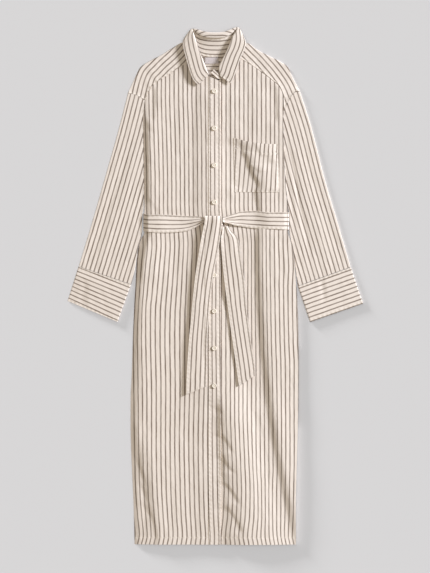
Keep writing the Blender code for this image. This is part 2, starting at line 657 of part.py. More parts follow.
def cuff(name, cut):
    """A deep cuff: a flat tube that is a little fuller than the sleeve."""
    drop = Point(cut.end_inner.x - cut.top_inner.x, cut.end_inner.up - cut.top_inner.up)
    gap = SEAM * 1.5 / math.hypot(drop.x, drop.up)

    def plan(across, down):
        start = between(cut.top_inner, cut.top_outer, across)
        end = between(cut.end_inner, cut.end_outer, across)
        return between(start, end, mix(gap, 1.0, down))

    def top(across, down):
        full = mix(SLEEVE_TOP, CUFF_TOP, ease(0.0, 0.3, down))
        crease = 1.4 * math.exp(-((across - cut.crease) / 0.09) ** 2) * ease(0.0, 0.5, down)
        wave = 0.3 * math.sin(5.0 * across + 1.3) * down
        return full - crease + wave

    return flat_tube(name, plan, top, 5, [step / 10 for step in range(11)])


# ---------------------------------------------------------------- collar

def leaf_point(row, share):
    """A point of the leaf from its seam with the stand (0) over the roll to its free edge (1)."""
    turn = math.radians(row.facing)
    out_x, out_up = math.cos(turn), math.sin(turn)
    roll_reach, rise = 8.0, 0.25
    if share < rise:
        lean = math.pi / 2.0 * (1.0 - share / rise)
        inward = (ROLL_RADIUS + ROLL_SPREAD * ease(0.0, 40.0, row.tuck)) * math.sin(lean)
        out = ROLL_RADIUS - inward
        return (row.roll_x + out_x * out, row.roll_up + out_up * out,
                row.roll_z - ROLL_RADIUS * (1.0 - math.cos(lean)))
    t = (share - rise) / (1.0 - rise)
    controls = (
        (row.roll_x + out_x * ROLL_RADIUS, row.roll_up + out_up * ROLL_RADIUS, row.roll_z),
        (row.roll_x + out_x * roll_reach, row.roll_up + out_up * roll_reach, row.roll_z + 0.4),
        (row.edge_x + out_x * row.tuck, row.edge_up + out_up * row.tuck, row.edge_z + 0.6),
        (row.edge_x, row.edge_up, row.edge_z),
    )
    weights = ((1 - t) ** 3, 3 * t * (1 - t) ** 2, 3 * t * t * (1 - t), t ** 3)
    return tuple(sum(w * c[axis] for w, c in zip(weights, controls)) for axis in range(3))


def collar_leaf():
    columns, rows = 2 * (len(COLLAR) - 1), 8

    def place(column, row):
        section = round_rows(COLLAR, column / columns * (len(COLLAR) - 1))
        return leaf_point(section, row / rows)

    return sheet("collar_leaf", columns, rows, place)


def stand_section(row):
    """The stand's foot, which lies on the neck edge, and its top, which laps under the leaf.

    The inner face is given. It is the upper face at the back of the neck and the lower one in
    front, where the stand lies under the leaf.
    """
    turn = math.radians(row.facing)
    x, up, z = leaf_point(row, 0.0)
    behind = ease(0.0, 30.0, row.tuck)
    foot_z = lie_on(neck_edge_top, row.foot_x, row.foot_up, 3.0) + CLOTH * behind
    top_z = z - LAYER - SEAM - CLOTH * (1.0 - behind)
    tuck_in = 0.8
    return StandEnd(row.foot_x, row.foot_up, foot_z, x + tuck_in * math.cos(turn),
                    up + tuck_in * math.sin(turn), top_z, behind)


def collar_stand():
    halves = 2 * (len(COLLAR) - 1)
    sections = [stand_section(round_rows(COLLAR, step / 2.0)) for step in range(halves + 1)]
    sections += STAND_END
    rows = 3

    def place(column, row):
        section = sections[column]
        share = row / rows
        rise = mix(1.0 - (1.0 - share) ** 2, share ** 2, section.behind)
        return (mix(section.foot_x, section.top_x, share), mix(section.foot_up, section.top_up, share),
                mix(section.foot_z, section.top_z, rise))

    return sheet("collar_stand", len(sections) - 1, rows, place, faces_up_behind)


def neck_label():
    """A plain woven label, bare of any lettering."""
    right, left, low, high = -26.0, 8.0, 1176.0, 1191.5

    def place(column, row):
        return mix(right, left, column / 4.0), mix(low, high, row / 2.0), LAYER + 1.0

    return sheet("neck_label", 4, 2, place, thickness=1.0, colour=LABEL_WHITE)


# ---------------------------------------------------------------- belt

def belt_waist():
    """The belt once round the waist: out over one front, under the back and in again."""
    def over(run):
        z = max(lie_on(dress_top, run.x, up, 5.0) for up in (run.top, run.bottom))
        return BeltTurn(run.x, run.top, run.bottom, z + CLOTH + run.lift)

    stations = [over(run) for run in RIGHT_RUN]
    stations += RIGHT_TURN + UNDER_BACK + LEFT_TURN
    stations += [over(run) for run in reversed(LEFT_RUN)]
    rows = 3

    def place(column, row):
        station = stations[column]
        return station.x, mix(station.bottom, station.top, row / rows), station.z

    return sheet("belt_waist", len(stations) - 1, rows, place, faces_out)


def belt_knot():
    """The hidden turns of the knot, as one rounded pad under the end that falls over it."""
    centre, half_x, half_up, half_z = Point(-2.0, 784.0), 20.0, 13.0, 3.3
    base = max(lie_on(dress_top, centre.x + dx, centre.up + dy) for dx in (-15, 0, 15)
               for dy in (-13, 0, 13))
    bm = bmesh.new()
    ball = bmesh.ops.create_uvsphere(bm, u_segments=16, v_segments=8, radius=1.0)
    for vertex in ball["verts"]:
        vertex.co.x = (centre.x + half_x * vertex.co.x) * MM
        vertex.co.y = (centre.up + half_up * vertex.co.y - DRESS_LENGTH / 2.0) * MM
        vertex.co.z = (base + half_z + half_z * vertex.co.z) * MM
    mesh = bpy.data.meshes.new("belt_knot")
    bm.to_mesh(mesh)
    bm.free()
    mesh.shade_smooth()
    return add_object("belt_knot", mesh)


def belt_tail(name, rows, stations):
    """A free end of the belt lying on the skirt, with its edges lifted as the table says."""
    columns = 4

    def place(column, row):
        section = round_rows(rows, row / stations * (len(rows) - 1))
        share = column / columns
        x = mix(section.right, section.left, share)
        up = mix(section.up_right, section.up_left, share)
        lift = mix(section.lift_right, section.lift_left, share)
        return x, up, lie_on(dress_top, x, up, 8.0) + CLOTH + lift

    return sheet(name, columns, stations, place)


# ---------------------------------------------------------------- buttons

def button(name, x, up):
    """A turned button with a raised rim and a dished face."""
    profile = ((0.001, 1.6), (3.4, 1.6), (4.6, BUTTON_THICKNESS), (BUTTON_RADIUS, 1.9),
               (BUTTON_RADIUS, 0.6), (5.0, 0.0), (0.001, 0.0))
    steps = 12
    base = lie_on(dress_top, x, up, 5.0) + 0.1
    bm = bmesh.new()
    previous = None
    for radius, z in profile:
        if radius < 0.01:
            ring = [bm.verts.new((x * MM, (up - DRESS_LENGTH / 2.0) * MM, (base + z) * MM))]
        else:
            ring = []
            for step in range(steps):
                turn = 2.0 * math.pi * step / steps
                ring.append(bm.verts.new(((x + radius * math.cos(turn)) * MM,
                                          (up + radius * math.sin(turn) - DRESS_LENGTH / 2.0) * MM,
                                          (base + z) * MM)))
        if previous:
            for step in range(steps):
                following = (step + 1) % steps
                loop = [previous[step % len(previous)], previous[following % len(previous)],
                        ring[following % len(ring)], ring[step % len(ring)]]
                bm.faces.new(list(dict.fromkeys(loop)))
        previous = ring
    bmesh.ops.recalc_face_normals(bm, faces=bm.faces)
    mesh = bpy.data.meshes.new(name)
    bm.to_mesh(mesh)
    bm.free()
    mesh.shade_smooth()
    return add_object(name, mesh, SHELL_WHITE, 0.35)


def main():
    for leftover in list(bpy.data.objects):
        bpy.data.objects.remove(leftover, do_unlink=True)
    collection = bpy.data.collections.new("shirt_dress")
    bpy.context.scene.collection.children.link(collection)

    back_panel()
    yoke()
    front("right_front", "right", PLACKET_EDGE, RIGHT_YOKE_SEAM + RIGHT_NECK_EDGE[1:],
          right_front_top)
    front("left_front", "left", UNDERLAP_EDGE, LEFT_YOKE_SEAM + LEFT_NECK_EDGE[1:], front_top)
    front_placket()
    chest_pocket()
    sleeve("right_sleeve", RIGHT_SLEEVE, "right", RIGHT_YOKE_END)
    sleeve("left_sleeve", LEFT_SLEEVE, "left", LEFT_YOKE_END)
    cuff("right_cuff", RIGHT_CUFF)
    cuff("left_cuff", LEFT_CUFF)
    collar_stand()
    collar_leaf()
    neck_label()
    belt_waist()
    belt_knot()
    belt_tail("belt_tail_over", TAIL_OVER, 22)
    belt_tail("belt_tail_under", TAIL_UNDER, 18)
    for number, up in enumerate(BUTTON_HEIGHTS, start=1):
        button(f"button_{number}", BUTTON_X, up)


main()
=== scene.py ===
"""Shirt dress of striped linen, laid flat and face up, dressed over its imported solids.

Sizes are in millimetres: x runs across the dress to the wearer's left, `up` is the way from the
hem to the collar and z is the height above the surface that the dress lies on. Meshes are made
in metres with every object at the origin, as the solids are.
"""

import logging
import math
from dataclasses import dataclass, field
from enum import Enum
from functools import partial
from typing import Callable, NamedTuple, Sequence

import bmesh
import bpy
import numpy as np
from mathutils import Matrix, Vector


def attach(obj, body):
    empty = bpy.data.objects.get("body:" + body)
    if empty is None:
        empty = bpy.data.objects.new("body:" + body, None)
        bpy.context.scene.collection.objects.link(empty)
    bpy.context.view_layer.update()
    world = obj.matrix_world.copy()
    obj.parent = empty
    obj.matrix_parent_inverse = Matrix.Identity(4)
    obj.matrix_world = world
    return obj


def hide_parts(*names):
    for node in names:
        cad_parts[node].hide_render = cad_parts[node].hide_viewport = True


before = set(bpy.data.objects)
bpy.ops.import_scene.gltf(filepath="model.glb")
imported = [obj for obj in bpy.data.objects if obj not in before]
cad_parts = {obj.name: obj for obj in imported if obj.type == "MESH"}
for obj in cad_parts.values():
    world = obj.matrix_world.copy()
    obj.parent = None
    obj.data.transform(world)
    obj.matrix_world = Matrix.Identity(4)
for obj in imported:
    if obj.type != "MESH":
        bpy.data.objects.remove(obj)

LOG = logging.getLogger("shirt_dress")
Array = np.ndarray

MM = 0.001
DRESS_LENGTH = 1261.0
PITCH = 10.7      # from one stripe to the next
FAR = 1000.0      # a distance at which no stitching shows
MERGED = 0.00002  # metres: points closer than this are one
CRISP = 0.9       # radians: a sheet's edges that turn more than this stay sharp


# ---------------------------------------------------------------- arithmetic of curves

def ease(low: float, high: float, value: Array) -> Array:
    """0 on low's side, 1 on high's side, and a smooth rise between them."""
    share = np.clip((value - low) / (high - low), 0.0, 1.0)
    return share * share * (3.0 - 2.0 * share)


def mix(start: Array, end: Array, share: Array) -> Array:
    """The value a share of the way from start to end."""
    return start + (end - start) * share


def column(rows: Sequence[NamedTuple], name: str) -> Array:
    """One named column of a table."""
    return np.array([getattr(row, name) for row in rows], dtype=float)


def table(kind: type, *rows: Sequence) -> tuple:
    """A table, from rows of the values that its kind of row names."""
    return tuple(kind(*row) for row in rows)


def walked(first: Array, second: Array) -> Array:
    """How far along a path its points lie, from their two coordinates."""
    return np.concatenate(([0.0], np.cumsum(np.hypot(np.diff(first), np.diff(second)))))


def in_metres(x: float, up: float, z: float) -> Vector:
    """A place on the dress in the shared frame."""
    return Vector((x * MM, (up - DRESS_LENGTH / 2.0) * MM, z * MM))


def smooth_curve(keys: Array, values: Array, place: Array) -> Array:
    """Reads a curve through given values that never overshoots them.

    Args:
        keys: Rising places at which the values are given.
        values: The values there.
        place: The places to read.

    Returns:
        The curve's values at those places, held beyond its two ends.
    """
    place = np.clip(place, keys[0], keys[-1])
    row = np.clip(np.searchsorted(keys, place, side="right") - 1, 0, len(keys) - 2)
    width = np.diff(keys)
    slopes = np.diff(values) / width
    product = slopes[:-1] * slopes[1:]
    total = np.where(product > 0.0, slopes[:-1] + slopes[1:], 1.0)
    tangents = np.concatenate(([slopes[0]], np.where(product > 0.0, 2.0 * product / total, 0.0),
                               [slopes[-1]]))
    t = (place - keys[row]) / width[row]
    start = values[row] * (1.0 + 2.0 * t) + tangents[row] * width[row] * t
    end = values[row + 1] * (3.0 - 2.0 * t) - tangents[row + 1] * width[row] * (1.0 - t)
    return start * (1.0 - t) ** 2 + end * t * t


class Spot(NamedTuple):
    """A place on the dress, seen from above."""

    x: float
    up: float


@dataclass(frozen=True)
class Line:
    """A line of spots, walked by the share of its length."""

    spots: tuple[Spot, ...]

    def lengths(self) -> Array:
        """How far along the line each spot lies."""
        return walked(column(self.spots, "x"), column(self.spots, "up"))

    def at(self, share: Array) -> tuple[Array, Array]:
        """Walks along the line.

        Args:
            share: Shares of the way along.

        Returns:
            x and up there.
        """
        gone = self.lengths()
        place = np.asarray(share) * gone[-1]
        return (smooth_curve(gone, column(self.spots, "x"), place),
                smooth_curve(gone, column(self.spots, "up"), place))

    def height_at(self, x: Array) -> Array:
        """The line's height above the hem at x."""
        ordered = sorted(self.spots)
        return smooth_curve(column(ordered, "x"), column(ordered, "up"), x)

    def offset(self, x: Array, up: Array) -> tuple[Array, Array]:
        """How far places lie to the right-hand side of the line, and how far along it.

        Args:
            x: Where the places are across the dress.
            up: How high they are above the hem.

        Returns:
            The signed distance from the line, run on straight past its ends, and the length
            gone along it.
        """
        shares = np.linspace(0.0, 1.0, 10 * len(self.spots))
        line_x, line_up = self.at(shares)
        nearest = np.full(np.shape(x), np.inf)
        signed, gone_at = np.zeros(np.shape(x)), np.zeros(np.shape(x))
        gone, last = 0.0, len(shares) - 2
        for index in range(last + 1):
            run_x, run_up = line_x[index + 1] - line_x[index], line_up[index + 1] - line_up[index]
            length = math.hypot(run_x, run_up)
            from_x, from_up = x - line_x[index], up - line_up[index]
            t = (from_x * run_x + from_up * run_up) / length ** 2
            t = np.clip(t, -np.inf if index == 0 else 0.0, np.inf if index == last else 1.0)
            off_x, off_up = from_x - t * run_x, from_up - t * run_up
            distance = np.hypot(off_x, off_up)
            closer = distance < nearest
            nearest = np.where(closer, distance, nearest)
            side = np.sign(off_x * run_up - off_up * run_x)
            signed = np.where(closer, side * distance, signed)
            gone_at = np.where(closer, gone + t * length, gone_at)
            gone += length
        return signed, gone_at


def round_rows(rows: Sequence[NamedTuple], fields: Sequence[str], place: Array) -> list[Array]:
    """Reads a table between its rows, on a Catmull-Rom curve.

    Args:
        rows: The table.
        fields: The columns to read.
        place: Row numbers with fractions.

    Returns:
        One array for each column.
    """
    place = np.asarray(place, dtype=float)
    index = np.clip(place.astype(int), 0, len(rows) - 2)
    t = place - index
    found = []
    for name in fields:
        values = column(rows, name)
        a, b = values[np.maximum(index - 1, 0)], values[index]
        c, d = values[index + 1], values[np.minimum(index + 2, len(rows) - 1)]
        curve = (c - a) + t * (2 * a - 5 * b + 4 * c - d + t * (3 * b - 3 * c + d - a))
        found.append(b + 0.5 * t * curve)
    return found


# ---------------------------------------------------------------- tables of the cut

class Hand(Enum):
    """The wearer's two sides."""

    RIGHT = "right"
    LEFT = "left"

    @property
    def out(self) -> float:
        """The sign of x on this side."""
        return -1.0 if self is Hand.RIGHT else 1.0


class Side(NamedTuple):
    """The body's two edges: the side seams up to the underarm, then the armhole seams."""

    up: float
    right: float
    left: float


SIDES = table(
    Side,
    (0, -197.2, 197.5), (95, -199.6, 197.0), (170, -203.0, 198.7), (230, -205.6, 200.4),
    (300, -207.0, 202.4), (353, -206.8, 203.8), (426, -203.6, 204.3), (507, -201.2, 203.4),
    (598, -197.2, 200.6), (640, -194.4, 197.6), (686, -192.4, 194.2), (722, -188.4, 189.8),
    (748, -180.6, 182.6), (762, -173.1, 177.5), (820, -173.0, 177.2), (857, -174.4, 173.5),
    (911, -174.8, 169.6), (975, -175.6, 167.3), (1040, -176.8, 165.4), (1062, -175.0, 168.5),
    (1088, -172.0, 168.5),
)

RIGHT_YOKE_END = table(
    Spot,
    (-213.4, 1104.7), (-191.6, 1098.8), (-176.9, 1090.6), (-172.0, 1087.6),
)
LEFT_YOKE_END = table(
    Spot,
    (207.0, 1109.0), (196.7, 1108.0), (189.1, 1100.8), (182.3, 1090.0), (175.4, 1076.8),
    (168.5, 1060.6),
)
RIGHT_YOKE_SEAM = table(
    Spot,
    (-172.0, 1087.6), (-162.4, 1111.0), (-150.0, 1126.5), (-114.2, 1149.5), (-84.8, 1169.0),
    (-63.0, 1183.0),
)
LEFT_YOKE_SEAM = table(
    Spot,
    (168.5, 1060.6), (166.6, 1097.4), (158.8, 1118.2), (142.8, 1134.0), (100.7, 1165.5),
    (54.0, 1194.0),
)
RIGHT_SHOULDER = table(
    Spot,
    RIGHT_YOKE_END[0], (-191.8, 1151.3), (-183.5, 1166.9), (-156.8, 1184.6), (-132.8, 1196.8),
    (-104.6, 1214.6), (-77.9, 1228.0), (-62.0, 1224.0),
)
LEFT_SHOULDER = table(
    Spot,
    LEFT_YOKE_END[0], (189.1, 1144.0), (176.6, 1169.6), (156.8, 1182.4), (128.9, 1196.3),
    (100.7, 1211.8), (77.9, 1226.5), (56.0, 1224.0),
)
RIGHT_NECK_EDGE = table(
    Spot,
    (-63.0, 1183.0), (-49.5, 1166.0), (-32.3, 1152.5), (-15.2, 1145.0), (8.0, 1135.0),
    (13.0, 1131.0),
)
LEFT_NECK_EDGE = table(
    Spot,
    (54.0, 1194.0), (39.0, 1166.0), (20.0, 1142.0), (-14.0, 1128.0),
)


class Fold(NamedTuple):
    """A soft ridge (positive height) or trough (negative), from its top to its other end."""

    name: str
    top_x: float
    top_up: float
    end_x: float
    end_up: float
    bend: float
    half_width: float
    height: float


FOLDS = table(
    Fold,
    ("right armhole ridge", -160, 1060, -160, 812, 0, 9, 1.4),
    ("right armhole line", -152, 1116, -155, 1036, 1, 5, -1.8),
    ("right breast trough", -49, 1130, -54, 806, -2, 6, -0.7),
    ("right chest trough", -92, 1120, -96, 960, -2, 7, -0.5),
    ("left breast trough", 29, 1112, 31, 806, 2, 6, -0.8),
    ("left shoulder ridge", 158, 1130, 158, 985, 0, 26, 1.9),
    ("left shoulder line", 143, 1120, 148, 1035, 1, 5, -1.6),
    ("left chest trough", 78, 1120, 84, 1000, 2, 9, -0.9),
    ("pocket drag", 52, 984, 90, 872, -3, 14, -4.2),
    ("pocket inner drag", 72, 952, 100, 876, -2, 8, -2.2),
    ("pocket swell", 84, 980, 112, 905, 0, 8, 0.8),
    ("pocket foot drag", 90, 890, 96, 806, 0, 11, -3.2),
    ("right waist ridge", -152, 800, -178, 650, 0, 12, 3.4),
    ("right waist gather", -92, 760, -100, 640, 0, 8, -1.0),
    ("right thigh trough", -84, 700, -92, 330, 4, 12, -0.8),
    ("right side ridge", -186, 640, -188, 60, -4, 12, 1.0),
    ("right hem drag", -192, 230, -174, 6, 5, 7, -1.4),
    ("right hem second drag", -168, 165, -148, -30, 3, 7, -1.4),
    ("slit trough", 2, 345, 10, 165, 0, 8, -2.2), ("slit swell", 46, 350, 96, -80, 0, 50, 5.0),
    ("slit step", 24, 340, 46, -80, 0, 16, 2.4),
    ("slit low swell", 98, 220, 132, -120, 0, 62, 2.0),
    ("right hem ridge", -160, 250, -136, -50, 0, 26, 3.0),
    ("left hip trough", 60, 770, 58, 600, 0, 9, -0.9),
    ("left thigh trough", 91, 830, 188, 10, -29, 14, -5.0),
    ("left thigh ridge", 116, 830, 214, 10, -29, 18, 1.8),
    ("left side ridge", 176, 700, 184, 330, 4, 12, 0.6),
)

# Narrower creases that only show in the cloth itself.
CREASES = table(
    Fold,
    ("underarm pull right", -168, 846, -140, 800, 4, 5, -0.9),
    ("armhole pucker right high", -174, 1030, -156, 1006, 2, 6, -0.7),
    ("armhole pucker right middle", -175, 948, -158, 930, -2, 6, -0.7),
    ("chest line right", -128, 1070, -131, 840, 3, 5, -0.3),
    ("chest line middle", -74, 1050, -77, 822, -3, 5, -0.3),
    ("side line left", 150, 980, 153, 830, 3, 4, -0.4),
    ("armhole pucker left high", 168, 1010, 150, 990, -2, 6, -0.5),
    ("armhole pucker left low", 172, 900, 152, 872, 2, 6, -0.5),
    ("waist gather right outer", -150, 760, -160, 650, 2, 5, -0.7),
    ("waist gather right middle", -122, 760, -130, 600, -2, 6, -0.6),
    ("waist gather right inner", -62, 765, -70, 640, 2, 5, -0.6),
    ("waist gather left inner", 74, 765, 80, 640, 0, 5, -0.6),
    ("waist gather left middle", 134, 765, 140, 640, -3, 5, -0.5),
    ("waist gather left outer", 158, 762, 164, 660, 0, 5, -0.5),
    ("thigh line left", 66, 560, 82, 330, 5, 6, -0.6),
    ("knee crease left", 96, 330, 130, 150, 6, 5, -0.7),
    ("hem crease left", 112, 150, 118, 10, -5, 6, -0.5),
    ("slit curve", 2, 336, 12, 318, 2, 5, -1.0),
    ("slit ripple high", 12, 268, 38, 226, 3, 5, -1.6),
    ("slit ripple middle", 14, 214, 44, 176, -3, 5, -1.5),
    ("slit ripple low", 20, 150, 54, 102, 3, 5, -1.6),
    ("slit ripple hem", 26, 90, 62, 30, 3, 6, -1.5),
    ("corner crease right high", -196, 210, -168, 112, 6, 4, -1.0),
    ("corner crease right middle", -186, 150, -160, 66, 4, 4, -1.0),
    ("corner crease right low", -176, 96, -142, 10, 5, 5, -1.0),
    ("hem crease right", -110, 150, -106, 24, 4, 6, -0.5),
    ("side crease right", -190, 470, -186, 300, 3, 5, -0.8),
    ("side crease left", 186, 420, 190, 260, -3, 7, -0.5),
)

# Swells of the pocket's own cloth, which fade out at its sewn edges.
POCKET_CREASES = table(
    Fold,
    ("pocket mouth pull", 100, 982, 116, 950, 0, 5, 1.1),
    ("pocket mouth swell", 128, 982, 138, 936, 0, 8, 1.2),
    ("pocket middle swell", 72, 956, 94, 896, 2, 5, 1.1),
    ("pocket cross swell", 84, 930, 112, 912, 0, 6, 0.7),
    ("pocket low swell", 116, 926, 128, 868, 0, 8, 1.0),
    ("pocket side swell", 146, 960, 150, 880, 0, 7, 0.7),
)


class StripeRow(NamedTuple):
    """Where six numbered stripes of a front lie across the dress at one height."""

    up: float
    first: float
    second: float
    third: float
    fourth: float
    fifth: float
    sixth: float


STRIPE_COLUMNS = ("first", "second", "third", "fourth", "fifth", "sixth")
RIGHT_NUMBERS = (-3, 0, 5, 10, 12, 16)
RIGHT_STRIPES = table(
    StripeRow,
    (0, -190.0, -161.0, -106.2, -48.4, -24.9, 20.4),
    (22, -185.5, -156.8, -102.9, -46.6, -23.5, 19.9),
    (71, -189.9, -160.0, -105.6, -49.2, -26.7, 18.1),
    (132, -194.5, -164.4, -108.3, -51.2, -28.4, 17.2),
    (255, -197.7, -166.8, -110.3, -53.4, -29.9, 15.4),
    (377, -199.2, -167.3, -109.3, -51.2, -27.2, 13.0),
    (500, -200.7, -170.0, -111.2, -50.2, -26.7, 11.0),
    (561, -198.0, -170.3, -110.3, -49.7, -26.5, 10.5),
    (622, -194.3, -165.6, -105.8, -48.3, -25.5, 10.5),
    (683, -191.0, -159.3, -101.4, -47.0, -24.5, 10.5),
    (732, -187.2, -154.8, -99.0, -45.1, -22.8, 10.5),
    (830, -189.1, -157.0, -106.1, -53.7, -32.6, 9.3),
    (891, -189.0, -157.0, -106.3, -53.9, -32.6, 9.3),
    (989, -191.6, -159.7, -108.3, -54.4, -33.3, 9.3),
    (1087, -194.2, -162.2, -111.5, -57.1, -35.8, 9.3),
)
LEFT_NUMBERS = (-2, 0, 4, 6, 10, 15)
LEFT_STRIPES = table(
    StripeRow,
    (0, 13.6, 37.4, 82.4, 104.6, 145.6, 192.0), (22, 14.5, 36.0, 79.1, 101.4, 141.6, 188.2),
    (71, 19.4, 40.9, 83.8, 104.9, 140.1, 190.4), (132, 21.6, 42.8, 85.3, 104.1, 139.9, 191.6),
    (193, 21.3, 41.8, 82.8, 100.7, 141.4, 192.8), (255, 18.4, 39.2, 80.1, 99.7, 141.4, 193.1),
    (316, 15.9, 37.2, 78.2, 99.5, 141.1, 192.8), (438, 15.0, 37.0, 79.0, 100.0, 138.9, 193.1),
    (500, 15.0, 37.0, 79.9, 99.2, 137.0, 190.6), (622, 15.0, 37.0, 79.9, 97.5, 135.0, 188.4),
    (683, 15.0, 37.2, 80.4, 97.5, 134.0, 190.9), (732, 15.0, 37.2, 80.1, 97.3, 133.5, 187.9),
    (830, 4.9, 26.5, 70.3, 90.9, 135.0, 186.7), (1087, 4.9, 26.5, 70.3, 90.9, 135.0, 186.7),
)


class BeltRun(NamedTuple):
    """A station of the belt's front run, from the knot outwards."""

    x: float
    top: float
    bottom: float
    lift: float


RIGHT_RUN = table(
    BeltRun,
    (-27, 800, 788, 2.4), (-36, 801, 782, 1.8), (-50, 802, 774, 1.2), (-66, 803, 767.5, 0.7),
    (-84, 804, 764, 0.3), (-104, 805, 762.5, 0.1), (-140, 806.5, 762, 0), (-164, 806, 764, 0),
)
LEFT_RUN = table(
    BeltRun,
    (18.8, 797, 788, 2.6), (24, 800, 786, 2.4), (33, 804, 784, 1.8), (46, 809, 780, 1.2),
    (64, 814, 777, 0.6), (92, 816, 773, 0.1), (134, 812, 771, 0), (167, 812, 770, 0),
)


class BeltTurn(NamedTuple):
    """A station of the belt round the body's sides and under the back."""

    x: float
    top: float
    bottom: float
    z: float


RIGHT_TURN = table(
    BeltTurn,
    (-169.8, 807.0, 764.3, 7.1), (-173.6, 808.0, 765.0, 5.9), (-175.5, 808.6, 765.4, 4.0),
    (-175.6, 809.2, 765.8, 1.6), (-173.0, 810.0, 766.0, 0.0),
)
UNDER_BACK = table(
    BeltTurn,
    (-120.0, 810.0, 766.0, 0.0), (-40.0, 810.8, 766.8, 0.0), (40.0, 811.6, 767.6, 0.0),
    (130.0, 812.5, 768.5, 0.0),
)
LEFT_TURN = table(
    BeltTurn,
    (177.5, 812.8, 768.8, 0.0), (180.4, 812.6, 769.0, 1.6), (180.3, 812.5, 769.4, 4.0),
    (178.2, 812.4, 769.6, 5.9), (174.4, 812.2, 769.8, 7.1),
)


class Tail(NamedTuple):
    """A station of a hanging belt end; the lifts raise its edges off what it lies on."""

    up_right: float
    up_left: float
    right: float
    left: float
    lift_right: float
    lift_left: float


TAIL_OVER = table(
    Tail,
    (803, 803, -24, 17, 2.6, 2.6), (799, 799, -25, 17, 5.2, 5.2), (790, 790, -26, 17, 6.6, 6.6),
    (772, 772, -29, 15, 5.2, 5.2), (748, 748, -34, 12, 4.2, 3.2), (700, 700, -42, 4, 3.8, 2.0),
    (661, 661, -48, -4, 3.7, 1.4), (626, 626, -52, -9, 3.6, 1.2), (590, 590, -56, -13, 3.5, 1.0),
    (552, 552, -59, -16, 3.4, 1.0), (500, 500, -64, -19, 3.4, 1.0), (440, 440, -68, -20, 3.3, 0.6),
    (400, 404, -70, -21, 3.2, 0.4), (366, 387, -70.5, -21.5, 3.0, 0.2),
)
TAIL_UNDER = table(
    Tail,
    (776, 778, 20, 31, 4.4, 4.2), (762, 765, 17, 41, 2.4, 2.0), (744, 748, 14, 56, 0.8, 1.6),
    (700, 706, 17, 62, 0.2, 1.8), (640, 644, 23, 71, 0.4, 2.0), (570, 574, 32, 77, 0.2, 1.6),
    (500, 506, 42, 86, 0.4, 1.8), (430, 440, 52, 96, 0.2, 1.6), (387, 414, 58, 98, 0.0, 1.2),
)


class Section(NamedTuple):
    """A section of the collar, from its roll to the leaf's edge and the stand's foot.

    `facing` is the way that the leaf falls from its roll, in degrees from the wearer's left, and
    `tuck` is how far its free edge turns back under.
    """

    name: str
    roll_x: float
    roll_up: float
    roll_z: float
    edge_x: float
    edge_up: float
    edge_z: float
    facing: float
    tuck: float
    foot_x: float
    foot_up: float


COLLAR = table(
    Section,
    ("right point", -15.4, 1148.2, 10.8, -41.6, 1122.6, 9.0, 220, -10, -19.0, 1145.4),
    ("right front", -21.5, 1163.5, 11.6, -54.2, 1136.6, 10.6, 218, -12, -34.5, 1152.0),
    ("right chest", -29.0, 1183.0, 12.4, -64.0, 1162.0, 11.6, 214, -12, -51.5, 1166.5),
    ("right neck", -37.0, 1201.5, 13.0, -72.0, 1190.8, 12.2, 204, -12, -64.6, 1190.0),
    ("right shoulder", -43.6, 1222.0, 13.4, -78.0, 1214.0, 12.2, 192, -10, -64.4, 1210.0),
    ("right turn", -50.8, 1244.5, 13.6, -78.4, 1232.0, 11.4, 176, 0, -58.0, 1226.0),
    ("right corner", -54.0, 1256.5, 12.8, -66.5, 1244.0, 9.0, 138, 5, -47.0, 1211.0),
    ("right back", -45.0, 1255.0, 13.4, -50.0, 1232.0, 4.0, 102, 26, -38.0, 1200.0),
    ("centre right", -23.0, 1248.0, 13.8, -25.0, 1211.0, 0.6, 94, 45, -21.0, 1194.2),
    ("centre back", 0.0, 1246.5, 14.0, 0.0, 1206.5, 0.6, 90, 47, 0.0, 1192.8),
    ("centre left", 23.0, 1248.5, 13.8, 25.0, 1211.0, 0.6, 86, 45, 21.0, 1194.2),
    ("left back", 44.0, 1257.5, 13.2, 50.0, 1234.0, 4.0, 80, 26, 34.0, 1199.0),
    ("left corner", 53.0, 1259.5, 12.8, 64.0, 1247.0, 9.4, 46, 5, 43.0, 1211.0),
    ("left turn", 41.0, 1240.0, 13.0, 74.6, 1228.0, 11.6, 6, 0, 53.0, 1226.0),
    ("left shoulder", 32.0, 1217.0, 12.2, 71.5, 1211.0, 12.2, -10, -10, 57.6, 1211.0),
    ("left neck", 22.5, 1197.0, 11.6, 61.5, 1187.0, 11.8, -20, -12, 56.0, 1196.0),
    ("left chest", 13.5, 1179.0, 11.0, 53.0, 1163.0, 11.2, -30, -12, 44.0, 1172.0),
    ("left front", 8.5, 1164.0, 10.6, 45.0, 1140.0, 10.4, -38, -12, 30.0, 1152.0),
    ("left point", 11.8, 1144.5, 10.0, 38.0, 1127.0, 9.2, -34, -10, 19.0, 1139.0),
)


class StandEnd(NamedTuple):
    """A station of the stand's undone left end, which turns up into the neck."""

    foot_x: float
    foot_up: float
    foot_z: float
    top_x: float
    top_up: float
    top_z: float
    behind: float


STAND_END = table(
    StandEnd,
    (8.3, 1138.3, 6.9, 10.6, 1145.8, 6.6, 0), (-1.4, 1145.8, 8.4, 4.6, 1153.4, 8.2, 0),
    (-10.4, 1153.4, 9.2, -3.8, 1161.6, 9.0, 0),
)


# ---------------------------------------------------------------- the lie of the cloth

